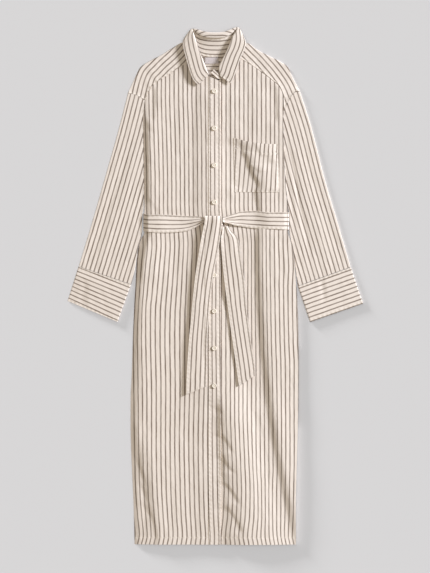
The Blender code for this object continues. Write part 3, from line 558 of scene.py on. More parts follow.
@dataclass(frozen=True)
class Crinkle:
    """The fine rumpling of washed linen: waves that mostly run along the cloth."""

    seed: int
    height: float
    shortest: float = 14.0
    longest: float = 60.0
    waves: int = 18
    steep: float = 0.7        # how much lower the narrower waves are
    lean: float = 0.25

    def at(self, x: Array, up: Array) -> Array:
        """Adds up the waves.

        Args:
            x, up: The places.

        Returns:
            The height that the rumpling adds there.
        """
        dice = np.random.default_rng(self.seed)
        total = np.zeros(np.shape(x))
        for _ in range(self.waves):
            wide = self.shortest * (self.longest / self.shortest) ** dice.random()
            long = wide * (2.0 + 5.0 * dice.random())
            lean = dice.normal(0.0, self.lean)
            phase = dice.random() * 2.0 * math.pi
            across = x + lean * up
            total = total + np.sin(2.0 * math.pi * (across / wide + up / long) + phase) \
                * (wide / self.longest) ** self.steep
        return self.height * total / math.sqrt(self.waves / 2.0)


@dataclass(frozen=True)
class Lay:
    """How the body's layers lie on the surface and on each other."""

    wall: float = 1.2
    seam: float = 0.3
    air: float = 1.6
    swell: float = 2.6
    swell_top: float = 1135.0
    swell_full: float = 1085.0
    touch: float = 0.5        # how softly a trough meets the layer below
    roll_right: float = 22.0
    roll_armhole: float = 17.0
    roll_left: float = 0.2
    left_share: float = 0.8   # the share of the height that is left at the wearer's left side
    left_fade: float = 60.0
    armhole_right: float = 2.4
    armhole_level: float = 4.2
    underarm: float = 824.0
    belt_low: float = 762.0
    belt_line: float = 788.0
    belt_high: float = 814.0
    belt_ramp: float = 27.0
    belt_hold: float = 0.8    # the share of the swell that the belt takes
    belt_reach: float = 40.0
    placket_edge: float = 13.0
    placket_width: float = 29.0
    placket_rise: float = 0.9
    underlap_edge: float = -14.0
    lap_start: float = -64.0
    yoke_fold_top: float = 4.4
    neck_right: float = -62.0
    neck_left: float = 56.0
    neck_back: float = 1195.0
    crinkle: Crinkle = Crinkle(seed=7, height=0.09)

    def side(self, up: Array, hand: Hand) -> Array:
        """x of the body's edge on the wearer's right or left."""
        return smooth_curve(column(SIDES, "up"), column(SIDES, hand.value), up)

    def back_underside(self, up: Array) -> Array:
        """Height of the back panel's underside, which rises where it lies on the belt."""
        rise, fall = (ease(foot, foot + self.belt_ramp, up)
                      for foot in (self.belt_low - self.belt_ramp, self.belt_high))
        return (self.wall + self.seam) * (rise - fall)

    @staticmethod
    def fold_height(fold: Fold, x: Array, up: Array) -> Array:
        """Finds what one fold adds at a place, fading out beyond its two ends.

        The side of a fold that looks to the wearer's right is the steeper one, as the cloth was
        smoothed out from the wearer's left.

        Args:
            fold: The fold.
            x: Where the place is across the dress.
            up: How high it is above the hem.

        Returns:
            The height, below nought in a trough.
        """
        t = (up - fold.end_up) / (fold.top_up - fold.end_up)
        line = mix(fold.end_x, fold.top_x, t) + 4.0 * fold.bend * t * (1.0 - t)
        fade = ease(-0.12, 0.12, t) * (1.0 - ease(0.88, 1.12, t))
        spread = np.where((x - line) * fold.height > 0.0, 4.0, 1.0) * fold.half_width
        return fold.height * fade * np.exp(-((x - line) / spread) ** 2)

    def front(self, x: Array, up: Array) -> Array:
        """Finds the fronts' upper face before one laps the other.

        Args:
            x, up: The places.

        Returns:
            The face's height there.
        """
        floor = self.back_underside(up) + 2.0 * self.wall + self.seam
        held_in = 1.0 - self.belt_hold * np.exp(-((up - self.belt_line) / self.belt_reach) ** 2)
        swell = self.swell * ease(self.swell_top, self.swell_full, up) * held_in
        puff = self.air + swell + self.crinkle.at(x, up)
        for fold in FOLDS + CREASES:
            puff = puff + self.fold_height(fold, x, up)
        puff = 0.5 * (puff + np.sqrt(puff * puff + self.touch))
        inward = self.side(up, Hand.LEFT) - x
        puff = puff * mix(self.left_share, 1.0, ease(0.0, self.left_fade, inward))
        held = ease(self.underarm - 10.0, self.underarm + 30.0, up)
        from_right = (x - self.side(up, Hand.RIGHT)) / mix(self.roll_right, self.roll_armhole, held)
        nearer = np.minimum(from_right, inward / self.roll_left)
        roll = np.sin(0.5 * math.pi * np.clip(nearer, 0.0, 1.0))
        dipped = mix(self.armhole_right, self.armhole_level, ease(1020.0, 1070.0, up))
        roll = np.where(x < 0.0, roll, np.maximum(roll, held))
        return floor + mix(held * (dipped - 2.0 * self.wall - self.seam), puff, roll)

    def right_front(self, x: Array, up: Array) -> Array:
        """The right front laps over the left one along the placket."""
        lap = ease(self.lap_start, self.underlap_edge - 6.0, x)
        return self.front(x, up) + (self.wall + 2.0 * self.seam) * lap

    def top(self, x: Array, up: Array) -> Array:
        """Height of whatever is uppermost on the body."""
        over = self.right_front(x, up) + self.placket_rise * (
            x > self.placket_edge - self.placket_width - 1.0)
        return np.where(x > self.placket_edge + 1.0, self.front(x, up), over)

    def neck_edge(self, x: Array, up: Array) -> Array:
        """Height of the cloth round the neck: the fronts and flaps, or the back yoke."""
        behind = (x > self.neck_right + 8.0) & (x < self.neck_left - 8.0) \
            & (up > self.neck_back - 10.0)
        return np.where(behind, self.wall, np.maximum(self.right_front(x, up), self.yoke_fold_top))

    def lie_on(self, surface: Callable[[Array, Array], Array], x: Array, up: Array,
               reach: float = 9.0) -> Array:
        """Lays a piece on a surface, clear of its highest point nearby.

        Args:
            surface: Gives the surface's height at x, up.
            x: Where the piece is across the dress.
            up: How high it is above the hem.
            reach: How far round each place the surface is felt.

        Returns:
            The piece's lowest height at each place.
        """
        x, up = np.asarray(x, dtype=float), np.asarray(up, dtype=float)
        highest = np.full(x.shape, -np.inf)
        for dx in (-reach, 0.0, reach):
            for dy in (-reach, 0.0, reach):
                highest = np.maximum(highest, surface(x + dx, up + dy))
        return highest + self.seam


# ---------------------------------------------------------------- sheets of cloth

class Patch(NamedTuple):
    """A grid of cloth: where its points lie, its place in the weave and its stitching.

    `across` and `along` are measured on the cloth, across and along its stripes. `stitch` is the
    distance to the nearest row of stitches and `run` the place along it.
    """

    x: Array
    up: Array
    z: Array
    across: Array
    along: Array
    stitch: Array
    run: Array


class Facing(Enum):
    """Which way a sheet's outer face looks."""

    UP = "up"
    DOWN = "down"
    OUT = "out"
    UP_BEHIND = "up at the back of the neck"


def surface_layers(bm: bmesh.types.BMesh) -> tuple:
    """Adds the two attributes that the finishes follow: the weave and the sewing."""
    return tuple(bm.verts.layers.float_vector.new(name) for name in ("weave", "sewing"))


class ClothSheet:
    """A sheet in place of one node, made from one or more grids and given its wall at the end."""

    def __init__(self, node: str, kind: str = "cloth", slot: str = "striped_linen") -> None:
        """Starts an empty sheet.

        Args:
            node: The node that it stands for.
            kind: What it is, for its name.
            slot: The name of a material slot, kept with the sheet and handed on to register.
        """
        self.node, self.kind, self.slot = node, kind, slot
        self.bm = bmesh.new()
        self.grids = 0
        self.weave, self.sewing = surface_layers(self.bm)

    def add(self, columns: int, rows: int, cut: Callable[[Array, Array], Patch]) -> "ClothSheet":
        """Adds a grid.

        Args:
            columns: Its number of columns.
            rows: Its number of rows.
            cut: Gives the patch at column and row numbers.

        Returns:
            This sheet.
        """
        grid = bmesh.ops.create_grid(self.bm, x_segments=columns, y_segments=rows, size=0.5)
        verts = grid["verts"]
        at = np.array([vertex.co[:] for vertex in verts])
        patch = cut(np.rint((at[:, 0] + 0.5) * columns), np.rint((at[:, 1] + 0.5) * rows))
        shape = at.shape[:1]
        values = np.stack([np.broadcast_to(part, shape) for part in patch], axis=1)
        values[:, 1] -= DRESS_LENGTH / 2.0
        for vertex, row in zip(verts, (values * MM).tolist()):
            vertex.co = row[0:3]
            vertex[self.weave] = (row[3], row[4], 0.0)
            vertex[self.sewing] = (row[5], row[6], 0.0)
        self.grids += 1
        return self

    def looks_out(self, facing: Facing) -> bool:
        """Tells whether the faces already look the way they should.

        Args:
            facing: The way they should look.

        Returns:
            True when they do.
        """
        faces = self.bm.faces
        if facing is Facing.UP_BEHIND:
            behind = in_metres(0.0, DRESS_LENGTH - 45.0, 12.0)
            middle = min(faces, key=lambda face: (face.calc_center_median() - behind).length)
            return middle.normal.z > 0.0
        if facing is Facing.OUT:
            heights = [vertex.co.z for vertex in self.bm.verts]
            middle = 0.5 * (min(heights) + max(heights))
            return sum(face.normal.z * face.calc_area() * (face.calc_center_median().z - middle)
                       for face in faces) > 0.0
        upward = sum(face.normal.z * face.calc_area() for face in faces) > 0.0
        return upward == (facing is Facing.UP)

    def finish(self, facing: Facing, wall: float, linen: bpy.types.Material) -> bpy.types.Object:
        """Turns the sheet into a wall of cloth, measured inwards from its outer face.

        Args:
            facing: Which way the outer face looks.
            wall: The cloth's thickness.
            linen: Its material.

        Returns:
            The finished object, fastened to the dress.
        """
        bmesh.ops.remove_doubles(self.bm, verts=self.bm.verts, dist=MERGED)
        if self.grids > 1:
            bmesh.ops.recalc_face_normals(self.bm, faces=self.bm.faces)
        self.bm.normal_update()
        if not self.looks_out(facing):
            bmesh.ops.reverse_faces(self.bm, faces=self.bm.faces)
        self.bm.normal_update()
        for edge in self.bm.edges:
            edge.smooth = edge.calc_face_angle(math.pi) < CRISP
        made = finish_mesh(f"{self.node}_{self.kind}", self.bm, linen)
        cloth = made.modifiers.new("cloth wall", "SOLIDIFY")
        cloth.thickness = wall * MM
        cloth.offset = -1.0
        return register(made, self.slot, self.node)


def finish_mesh(name: str, bm: bmesh.types.BMesh, finish: bpy.types.Material) -> bpy.types.Object:
    """Makes an object from a bmesh.

    Args:
        name: The object's name.
        bm: The mesh, which is freed.
        finish: Its material.

    Returns:
        The object, at the origin.
    """
    mesh = bpy.data.meshes.new(name)
    bm.to_mesh(mesh)
    bm.free()
    mesh.shade_smooth()
    mesh.materials.append(finish)
    made = bpy.data.objects.new(name, mesh)
    bpy.data.collections["dress"].objects.link(made)
    return made


def register(piece: bpy.types.Object, slot: str, *nodes: str) -> bpy.types.Object:
    """Fastens a piece to the dress's one body and names what it stands for.

    Args:
        piece: The piece.
        slot: Not used.
        nodes: The solids that it stands for.

    Returns:
        The piece.
    """
    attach(piece, "root")
    if nodes:
        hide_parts(*nodes)
    LOG.info("%s stands for %s", piece.name, ", ".join(nodes) or "no solid")
    return piece


@dataclass(frozen=True)
class StripeGuide:
    """Numbers the stripes of a front from the table of where six of them lie."""

    rows: tuple[StripeRow, ...]
    numbers: tuple[int, ...]

    def across(self, x: Array, up: Array) -> Array:
        """Reads the cloth across the stripes at a place on the dress.

        Args:
            x, up: The places.

        Returns:
            Millimetres of cloth from the stripe that is numbered nought.
        """
        heights = column(self.rows, "up")
        lines = np.stack([smooth_curve(heights, column(self.rows, name), up)
                          for name in STRIPE_COLUMNS])
        numbers = np.array(self.numbers, dtype=float)
        last = len(numbers) - 2
        row = np.clip(np.sum(lines < x, axis=0) - 1, 0, last)
        place = np.arange(len(row))
        left, right = lines[row, place], lines[row + 1, place]
        number = mix(numbers[row], numbers[row + 1], (x - left) / (right - left))
        number = np.where(x < lines[0], numbers[0] + (x - lines[0]) / PITCH, number)
        number = np.where(x > lines[-1], numbers[-1] + (x - lines[-1]) / PITCH, number)
        return number * PITCH


# ---------------------------------------------------------------- finishes

def linear(code: str) -> tuple[float, ...]:
    """Turns an sRGB colour written as #RRGGBB to linear light, with full opacity."""
    parts = [int(code[place:place + 2], 16) / 255.0 for place in (1, 3, 5)]
    return (*(part / 12.92 if part <= 0.04045 else ((part + 0.055) / 1.055) ** 2.4
              for part in parts), 1.0)


def feed(made: bpy.types.Node, inputs: dict) -> None:
    """Sets a node's inputs.

    Args:
        made: The node.
        inputs: What each takes, by its name or number: a value, a socket, or a node that feeds
            it from its first output.
    """
    for key, value in inputs.items():
        value = value.outputs[0] if isinstance(value, bpy.types.Node) else value
        if isinstance(value, bpy.types.NodeSocket):
            made.id_data.links.new(value, made.inputs[key])
        else:
            made.inputs[key].default_value = value


def add_node(tree: bpy.types.NodeTree, kind: str, inputs: dict | tuple = (),
             **settings: object) -> bpy.types.Node:
    """Adds a shader node.

    Args:
        tree: The material's nodes.
        kind: The node's type, without the word that all shader nodes' types start with.
        inputs: What its inputs take, by name, or in the order of the inputs.
        settings: The node's own settings.

    Returns:
        The node.
    """
    made = tree.nodes.new(f"ShaderNode{kind}")
    for name, value in settings.items():
        setattr(made, name, value)
    feed(made, inputs if isinstance(inputs, dict) else dict(enumerate(inputs)))
    return made


AddNode = Callable[..., bpy.types.Node]


def speckle(node: AddNode, place: bpy.types.NodeSocket, across_mm: float, along_mm: float,
            detail: float = 1.0) -> bpy.types.Node:
    """Draws noise about nought whose spots run along or across the stripes.

    Args:
        node: Adds a node.
        place: The place in the weave.
        across_mm: A spot's width across the stripes.
        along_mm: Its length along them.
        detail: How many finer noises are laid over it.

    Returns:
        The node with the noise as its first output.
    """
    scale = (1.0 / (across_mm * MM), 1.0 / (along_mm * MM), 1.0)
    spread = node("Mapping", {"Vector": place, "Scale": scale})
    noise = node("TexNoise", {"Vector": spread, "Scale": 1.0, "Detail": detail})
    return node("Math", (noise, 0.5), operation="SUBTRACT")


@dataclass(frozen=True)
class Finish:
    """A finish, made as a material from nodes."""

    name: str

    def surface(self, node: AddNode) -> dict:
        """What the shader's inputs take, by name."""
        raise NotImplementedError

    def build(self) -> bpy.types.Material:
        """Makes the material.

        Returns:
            The material, named for what the real one is.
        """
        made = bpy.data.materials.new(self.name)
        made.use_nodes = True
        tree = made.node_tree
        feed(tree.nodes["Principled BSDF"], self.surface(partial(add_node, tree)))
        return made


@dataclass(frozen=True)
class StripedLinen(Finish):
    """Linen in plain weave with yarn-dyed stripes, washed once.

    Flax yarn is uneven, so the ground is matt with fine slubs both ways, and the dyed warp
    threads of a stripe wander a little and let the pale weft through.
    """

    rumple_mm: float = 0.40   # relief of the soft rumpling between the modelled creases
    ground: str = "#EADFD4"
    stripe: str = "#7F7064"
    thread: str = "#E7DCCC"
    stripe_mm: float = 3.1
    frayed: float = 0.05      # how far a stripe's edge fades, in shares of the stripes' spacing
    wander_mm: float = 1.3    # how far the dyed threads wander
    yarn_mm: float = 0.9      # flax yarn is about 0.5 mm; drawn coarser so that it shows
    slub_mm: float = 9.0
    yarn_relief_mm: float = 0.10
    stitch_mm: float = 3.0
    thread_mm: float = 0.50   # half the thread's width, drawn coarser so that it shows
    thread_relief_mm: float = 0.08
    pucker_mm: float = 0.16
    pucker_step_mm: float = 11.0
    pucker_reach_mm: float = 6.0
    groove_mm: float = 0.14
    groove_reach_mm: float = 1.6

    def surface(self, node: AddNode) -> dict:
        """Follows each piece's own weave and sewing attributes.

        Args:
            node: Adds a node.

        Returns:
            What the shader's inputs take, by name.
        """
        weave = node("Attribute", attribute_name="weave").outputs["Vector"]
        warp = speckle(node, weave, self.yarn_mm, self.slub_mm)
        weft = speckle(node, weave, self.slub_mm, self.yarn_mm)
        yarns = node("Math", (warp, weft), operation="ADD")
        stripe, faint = self.stripes(node, weave, yarns)
        stitches, pucker = self.stitching(node)
        colour = linear(self.ground)
        for share, dye in ((faint, self.stripe), (stripe, self.stripe), (stitches, self.thread)):
            colour = node("Mix", {"Factor": share, "A": colour, "B": linear(dye)},
                          data_type="RGBA").outputs["Result"]
        relief = speckle(node, weave, 15.0, 34.0, 3.0), self.rumple_mm * MM * 2.0
        threads = yarns, self.yarn_relief_mm * MM
        raised = stitches, self.thread_relief_mm * MM
        rumple, grain, sewn = (node("Math", pair, operation="MULTIPLY")
                               for pair in (relief, threads, raised))
        cloth = node("Math", (rumple, grain), operation="ADD")
        seams = node("Math", (pucker, sewn), operation="ADD")
        height = node("Math", (cloth, seams), operation="ADD")
        return {"Base Color": colour, "Normal": node("Bump", {"Height": height, "Distance": 1.0}),
                "Roughness": 0.92, "Specular IOR Level": 0.25, "Sheen Weight": 0.12,
                "Sheen Roughness": 0.6}

    def stripes(self, node: AddNode, weave: bpy.types.NodeSocket,
                yarns: bpy.types.Node) -> tuple[bpy.types.Node, bpy.types.Node]:
        """Draws how much of the dyed and of the faint yarn shows.

        Args:
            node: Adds a node.
            weave: The place in the weave.
            yarns: The unevenness of the yarns.

        Returns:
            The share of the stripes, and that of the ground's faint dye.
        """
        across = node("SeparateXYZ", (weave,))
        wander = speckle(node, weave, 60.0, 24.0, 2.0)
        waver = node("Math", (wander, self.wander_mm * MM), operation="MULTIPLY")
        place = node("Math", (across, waver), operation="ADD")
        number = node("Math", (place, PITCH * MM), operation="DIVIDE")
        off = node("Math", (number, 0.5), operation="PINGPONG")
        fringe = node("Math", (yarns, self.frayed), operation="MULTIPLY")
        ragged = node("Math", (off, fringe), operation="ADD")
        half = 0.5 * self.stripe_mm / PITCH
        band = node("MapRange", (ragged, half - self.frayed, half + self.frayed, 1.0, 0.0),
                    interpolation_type="SMOOTHSTEP")
        patchy = speckle(node, weave, 24.0, 50.0, 2.0)
        worn = node("Math", (patchy, 0.80), operation="MULTIPLY")
        evenly = node("Math", (worn, 0.90), operation="ADD")
        slubs = node("Math", (yarns, 0.35), operation="MULTIPLY")
        strength = node("Math", (evenly, slubs), operation="ADD")
        tint = node("Math", (yarns, 0.10), operation="MULTIPLY")
        return (node("Math", (band, strength), operation="MULTIPLY"),
                node("Math", (tint, 0.03), operation="ADD"))

    def stitching(self, node: AddNode) -> tuple[bpy.types.Node, bpy.types.Node]:
        """Draws the rows of stitches and the puckers they pull.

        Args:
            node: Adds a node.

        Returns:
            How much of the thread shows, and the height in metres of the puckers.
        """
        sewing = node("Attribute", attribute_name="sewing").outputs["Vector"]
        parts = node("SeparateXYZ", (sewing,))
        off, run = node("Math", (parts,), operation="ABSOLUTE"), parts.outputs[1]
        step = node("Math", (run, self.stitch_mm * MM), operation="DIVIDE")
        swing = node("Math", (step, 0.5), operation="PINGPONG")
        falls = ((swing, 0.30, 0.40), (off, 0.5 * self.thread_mm * MM, self.thread_mm * MM),
                 (off, 0.0, self.pucker_reach_mm * MM), (off, 0.0, self.groove_reach_mm * MM))
        dash, thread, near, close = (
            node("MapRange", (*fall, 1.0, 0.0), interpolation_type="SMOOTHSTEP") for fall in falls)
        turn = 2.0 * math.pi / (self.pucker_step_mm * MM)
        wave = node("Math", (node("Math", (run, turn), operation="MULTIPLY"),), operation="SINE")
        swell = node("Math", (wave, near), operation="MULTIPLY")
        pucker = node("Math", (swell, self.pucker_mm * MM), operation="MULTIPLY")
        groove = node("Math", (close, -self.groove_mm * MM), operation="MULTIPLY")
        return (node("Math", (dash, thread), operation="MULTIPLY"),
                node("Math", (pucker, groove), operation="ADD"))


@dataclass(frozen=True)
class SatinRibbon(Finish):
    """Woven polyester ribbon: a cool, close ground with a slight sheen."""

    name: str = "woven polyester ribbon"
    ground: str = "#D6CDCC"
    shade: str = "#C0B7B6"
    rib_mm: float = 0.8
    rib_length_mm: float = 8.0
    rib_relief_mm: float = 0.12

    def surface(self, node: AddNode) -> dict:
        """Ribs the ribbon across its length.

        Args:
            node: Adds a node.

        Returns:
            What the shader's inputs take, by name.
        """
        weave = node("Attribute", attribute_name="weave").outputs["Vector"]
        rib = speckle(node, weave, self.rib_length_mm, self.rib_mm)
        tint = node("Math", (rib, 0.5), operation="ADD")
        colour = node("Mix", {"Factor": tint, "A": linear(self.ground), "B": linear(self.shade)},
                      data_type="RGBA").outputs["Result"]
        height = node("Math", (rib, self.rib_relief_mm * MM), operation="MULTIPLY")
        return {"Base Color": colour, "Normal": node("Bump", {"Height": height, "Distance": 1.0}),
                "Roughness": 0.55}


@dataclass(frozen=True)
class CastResin(Finish):
    """Cast polyester resin, turned and tumbled: satin, cloudy cream."""

    name: str = "tumbled polyester resin"
    light: str = "#F0E8DB"
    dark: str = "#E3D8C7"
    cloud_mm: float = 3.0
    grain_mm: float = 0.4
    ior: float = 1.53

    def surface(self, node: AddNode) -> dict:
        """Gives its colour soft clouds and its gloss faint turning marks.

        Args:
            node: Adds a node.

        Returns:
            What the shader's inputs take, by name.
        """
        place = node("TexCoord").outputs["Object"]
        cloud = node("TexNoise",
                     {"Vector": place, "Scale": 1.0 / (self.cloud_mm * MM), "Detail": 3.0})
        colour = node("Mix", {"Factor": cloud, "A": linear(self.light), "B": linear(self.dark)},
                      data_type="RGBA").outputs["Result"]
        grain = node("TexNoise", {"Vector": place, "Scale": 1.0 / (self.grain_mm * MM)})
        rough = node("MapRange", {"Value": grain, "To Min": 0.28, "To Max": 0.45})
        return {"Base Color": colour, "Roughness": rough, "IOR": self.ior}


@dataclass(frozen=True)
class SewingThread(Finish):
    """Spun polyester sewing thread, twisted from three plies: matt with a soft lustre."""

    colour: str
    shade: str = "#D9CDBB"
    ply_mm: float = 0.5       # a ply is about 0.15 mm; drawn coarser so that it shows
    ply_relief_mm: float = 0.04
    twist: float = 35.0

    def surface(self, node: AddNode) -> dict:
        """Shows the twist as fine slanting bumps.

        Args:
            node: Adds a node.

        Returns:
            What the shader's inputs take, by name.
        """
        place = node("TexCoord").outputs["Object"]
        slant = (0.0, 0.0, math.radians(self.twist))
        turned = node("Mapping", {"Vector": place, "Rotation": slant})
        plies = node("TexWave", {"Vector": turned, "Scale": 1.0 / (self.ply_mm * MM)}).outputs[1]
        height = node("Math", (plies, self.ply_relief_mm * MM), operation="MULTIPLY")
        tone = node("Mix", {"Factor": plies, "A": linear(self.colour), "B": linear(self.shade)},
                    data_type="RGBA").outputs["Result"]
        return {"Base Color": tone, "Normal": node("Bump", {"Height": height, "Distance": 1.0}),
                "Roughness": 0.7}


@dataclass(frozen=True)
class PaperSweep(Finish):
    """Pale grey background paper: even and matt, with a trace of tooth."""

    name: str = "background paper"
    colour: str = "#CBCACC"
    tooth_scale: float = 900.0   # spots of about 1.1 mm, coarser than paper's own
    tooth_mm: float = 0.02

    def surface(self, node: AddNode) -> dict:
        """Gives the paper its tooth.

        Args:
            node: Adds a node.

        Returns:
            What the shader's inputs take, by name.
        """
        place = node("TexCoord").outputs["Object"]
        tooth = node("TexNoise", {"Vector": place, "Scale": self.tooth_scale})
        height = node("Math", (tooth, self.tooth_mm * MM), operation="MULTIPLY")
        return {"Base Color": linear(self.colour), "Roughness": 1.0, "Specular IOR Level": 0.0,
                "Normal": node("Bump", {"Height": height, "Distance": 1.0})}


@dataclass
class Wardrobe:
    """The finishes that the dress's pieces share."""

    washed: bpy.types.Material = field(
        default_factory=lambda: StripedLinen("washed striped linen").build())
    pressed: bpy.types.Material = field(
        default_factory=lambda: StripedLinen("pressed striped linen", rumple_mm=0.25).build())
    ribbon: bpy.types.Material = field(default_factory=lambda: SatinRibbon().build())
    resin: bpy.types.Material = field(default_factory=lambda: CastResin().build())
    thread: bpy.types.Material = field(
        default_factory=lambda: SewingThread("cream sewing thread", "#E6DBCB").build())


@dataclass(frozen=True)
class Piece:
    """What each piece of the dress knows: how the body lies, and the finishes."""

    lay: Lay
    wardrobe: Wardrobe


# ---------------------------------------------------------------- body

@dataclass(frozen=True)
class BackPanel(Piece):
    """The back, one plain sheet that rests on the surface."""

    seam_up: float = 1060.0
    hem: float = 17.0
    wall: float = 0.8

    def build(self) -> None:
        """Cuts the back and lays it down."""
        columns, rows = 56, 150

        def cut(c: Array, r: Array) -> Patch:
            """Cuts the back between its two edges.

            Args:
                c, r: Column and row numbers.

            Returns:
                The patch there.
            """
            up = r / rows * (self.seam_up - self.lay.seam)
            x = mix(self.lay.side(up, Hand.RIGHT), self.lay.side(up, Hand.LEFT), c / columns)
            return Patch(x, up, self.lay.back_underside(up), x, up, up - self.hem, x)

        made = ClothSheet("back_panel").add(columns, rows, cut)
        made = made.finish(Facing.DOWN, self.wall, self.wardrobe.washed)


@dataclass(frozen=True)
class Front(Piece):
    """One front, from its side seam to its centre edge and from the hem to the yoke and neck."""

    hand: Hand
    centre: float
    yoke_seam: tuple[Spot, ...]
    neck_edge: tuple[Spot, ...]
    guide: StripeGuide
    straight_up: float = 1040.0
    hem: float = 17.0
    hem_rise: float = 0.35
    allowance: float = 6.0
    tucked: float = 1.1       # how much lower the allowance lies, under the yoke
    rim_share: float = 0.001  # where the second column lies, close to the first
    wall: float = 0.8

    def height(self, x: Array, up: Array) -> Array:
        """Height of this front's upper face."""
        over = self.hand is Hand.RIGHT
        return self.lay.right_front(x, up) if over else self.lay.front(x, up)

    def build(self) -> None:
        """Cuts the front; its seam allowance lies under the yoke."""
        columns, straight, rows = 68, 260, 298
        line = Line(self.yoke_seam + self.neck_edge[1:])
        corner, neck = self.yoke_seam[0], self.yoke_seam[-1]
        outward = self.hand.out

        def cut(c: Array, r: Array) -> Patch:
            """Cuts straight rows up to the yoke's corner, then rows that bend to its seam.

            Args:
                c, r: Column and row numbers.

            Returns:
                The patch there.
            """
            share = np.where(c < 1.0, 0.0, mix(self.rim_share, 1.0, (c - 1.0) / (columns - 1.0)))
            top_x = mix(corner.x, self.centre, share)
            sewn = ease(0.0, 5.0, outward * (top_x - neck.x))
            slope = (line.height_at(top_x + 1.0) - line.height_at(top_x - 1.0)) / 2.0
            free = 1.2 * self.lay.seam * np.hypot(1.0, slope)
            top = line.height_at(top_x) + mix(-free, self.allowance, sewn)
            above = np.clip((r - straight) / (rows - straight), 0.0, 1.0)
            up = np.where(r < straight, r / straight * self.straight_up,
                          mix(self.straight_up, top, above))
            x = mix(self.lay.side(np.minimum(up, corner.up), self.hand), self.centre, share)
            under = ease(-1.5, 0.6, up - line.height_at(x)) * ease(0.0, 5.0, outward * (x - neck.x))
            turned = self.hem_rise * (1.0 - ease(self.hem - 2.0, self.hem + 0.5, up))
            z = self.height(x, up) - self.tucked * under + turned
            return Patch(x, up, z, self.guide.across(x, up), up, up - self.hem, x)

        made = ClothSheet(f"{self.hand.value}_front").add(columns, rows, cut)
        made = made.finish(Facing.UP, self.wall, self.wardrobe.washed)


@dataclass(frozen=True)
class Placket(Piece):
    """The band down the right front's edge that carries the buttons."""

    guide: StripeGuide
    stitch_in: float = 3.0
    lift: float = 0.15
    rim: float = 1.6
    rim_drop: float = 0.1
    wall: float = 0.7

    def build(self) -> None:
        """Cuts the band and lays it on the right front."""
        columns, rows = 18, 290
        low = self.lay.placket_edge - self.lay.placket_width
        high = self.lay.placket_edge - self.lay.seam
        neck = Line(RIGHT_NECK_EDGE)

        def cut(c: Array, r: Array) -> Patch:
            """Cuts the band from the hem to the neck edge.

            Args:
                c, r: Column and row numbers.

            Returns:
                The patch there.
            """
            x = mix(low, high, c / columns)
            up = r / rows * (neck.height_at(x) - 2.0 * self.lay.seam)
            edge = np.minimum(x - low, high - x)
            z = self.lay.right_front(x, up) + self.wall + self.lift
            z = z - self.rim_drop * (1.0 - ease(0.0, self.rim, edge))
            return Patch(x, up, z, self.guide.across(x, up), up, edge - self.stitch_in, up)

        made = ClothSheet("front_placket").add(columns, rows, cut)
        made = made.finish(Facing.UP, self.wall, self.wardrobe.pressed)


@dataclass(frozen=True)
class ChestPocket(Piece):
    """A patch pocket with a turned mouth, on the wearer's left."""

    mouth: tuple[Spot, Spot] = (Spot(46.0, 994.0), Spot(153.0, 979.0))
    base: tuple[Spot, Spot] = (Spot(47.5, 862.0), Spot(157.5, 861.0))
    width: float = 107.0
    sag: float = 5.0
    gape: float = 1.3
    mouth_hem: float = 24.0
    stitch_in: float = 2.0
    lift: float = 0.15
    rim: float = 1.5
    rim_drop: float = 0.1
    wall: float = 0.7

    def across(self, x: Array, up: Array) -> Array:
        """Reads the cloth across the pocket's stripes from three that lean a little.

        Args:
            x, up: The places.

        Returns:
            Millimetres of cloth from the first stripe.
        """
        rise = (up - 891.6) / 49.0
        first, third, ninth = mix(47.5, 49.5, rise), mix(80.9, 86.5, rise), mix(147.7, 149.7, rise)
        inner = 3.0 * (x - first) / (third - first)
        outer = 3.0 + 6.0 * (x - third) / (ninth - third)
        return np.where(x < third, inner, outer) * PITCH

    def build(self) -> None:
        """Cuts the pocket and lays it on the left front."""
        columns, rows = 46, 54

        def cut(c: Array, r: Array) -> Patch:
            """Cuts the pocket between its base and its sagging mouth.

            Args:
                c, r: Column and row numbers.

            Returns:
                The patch there.
            """
            across, rise = c / columns, r / rows
            base_x, base_up = (mix(a, b, across) for a, b in zip(*self.base))
            mouth_x, mouth_up = (mix(a, b, across) for a, b in zip(*self.mouth))
            mouth_up = mouth_up - self.sag * np.sin(math.pi * across)
            x, up = mix(base_x, mouth_x, rise), mix(base_up, mouth_up, rise)
            side = np.minimum(across, 1.0 - across) * self.width
            below = (mouth_up - base_up) * (1.0 - rise)
            edge = np.minimum(side, up - base_up)
            z = self.lay.front(x, up) + self.wall + self.lift
            inside = ease(0.0, 10.0, side) * ease(0.0, 8.0, up - base_up)
            for crease in POCKET_CREASES:
                z = z + self.lay.fold_height(crease, x, up) * inside
            open_by = self.gape * ease(26.0, 0.0, below) * np.sin(math.pi * across) ** 2
            rim = self.rim_drop * (1.0 - ease(0.0, self.rim, edge))
            z = z + open_by + self.lift * inside - rim
            hem, sewn = below - self.mouth_hem, edge - self.stitch_in
            on_hem = np.abs(hem) < np.abs(sewn)
            return Patch(x, up, z, self.across(x, up), up, np.where(on_hem, hem, sewn),
                         np.where(on_hem | (side > up - base_up), x, up))

        made = ClothSheet("chest_pocket").add(columns, rows, cut)
        made = made.finish(Facing.UP, self.wall, self.wardrobe.pressed)


# ---------------------------------------------------------------- yoke

def steps_along(line: Line, longest: float) -> Array:
    """Divides a line into steps that hit its every spot.

    Args:
        line: The line.
        longest: The length that no step is over.

    Returns:
        Shares of the way along the line.
    """
    gone = line.lengths()
    found = [0.0]
    for start, end in zip(gone, gone[1:]):
        parts = math.ceil((end - start) / longest)
        found += [(start + (end - start) * part / parts) / gone[-1]
                  for part in range(1, parts + 1)]
    return np.array(found)


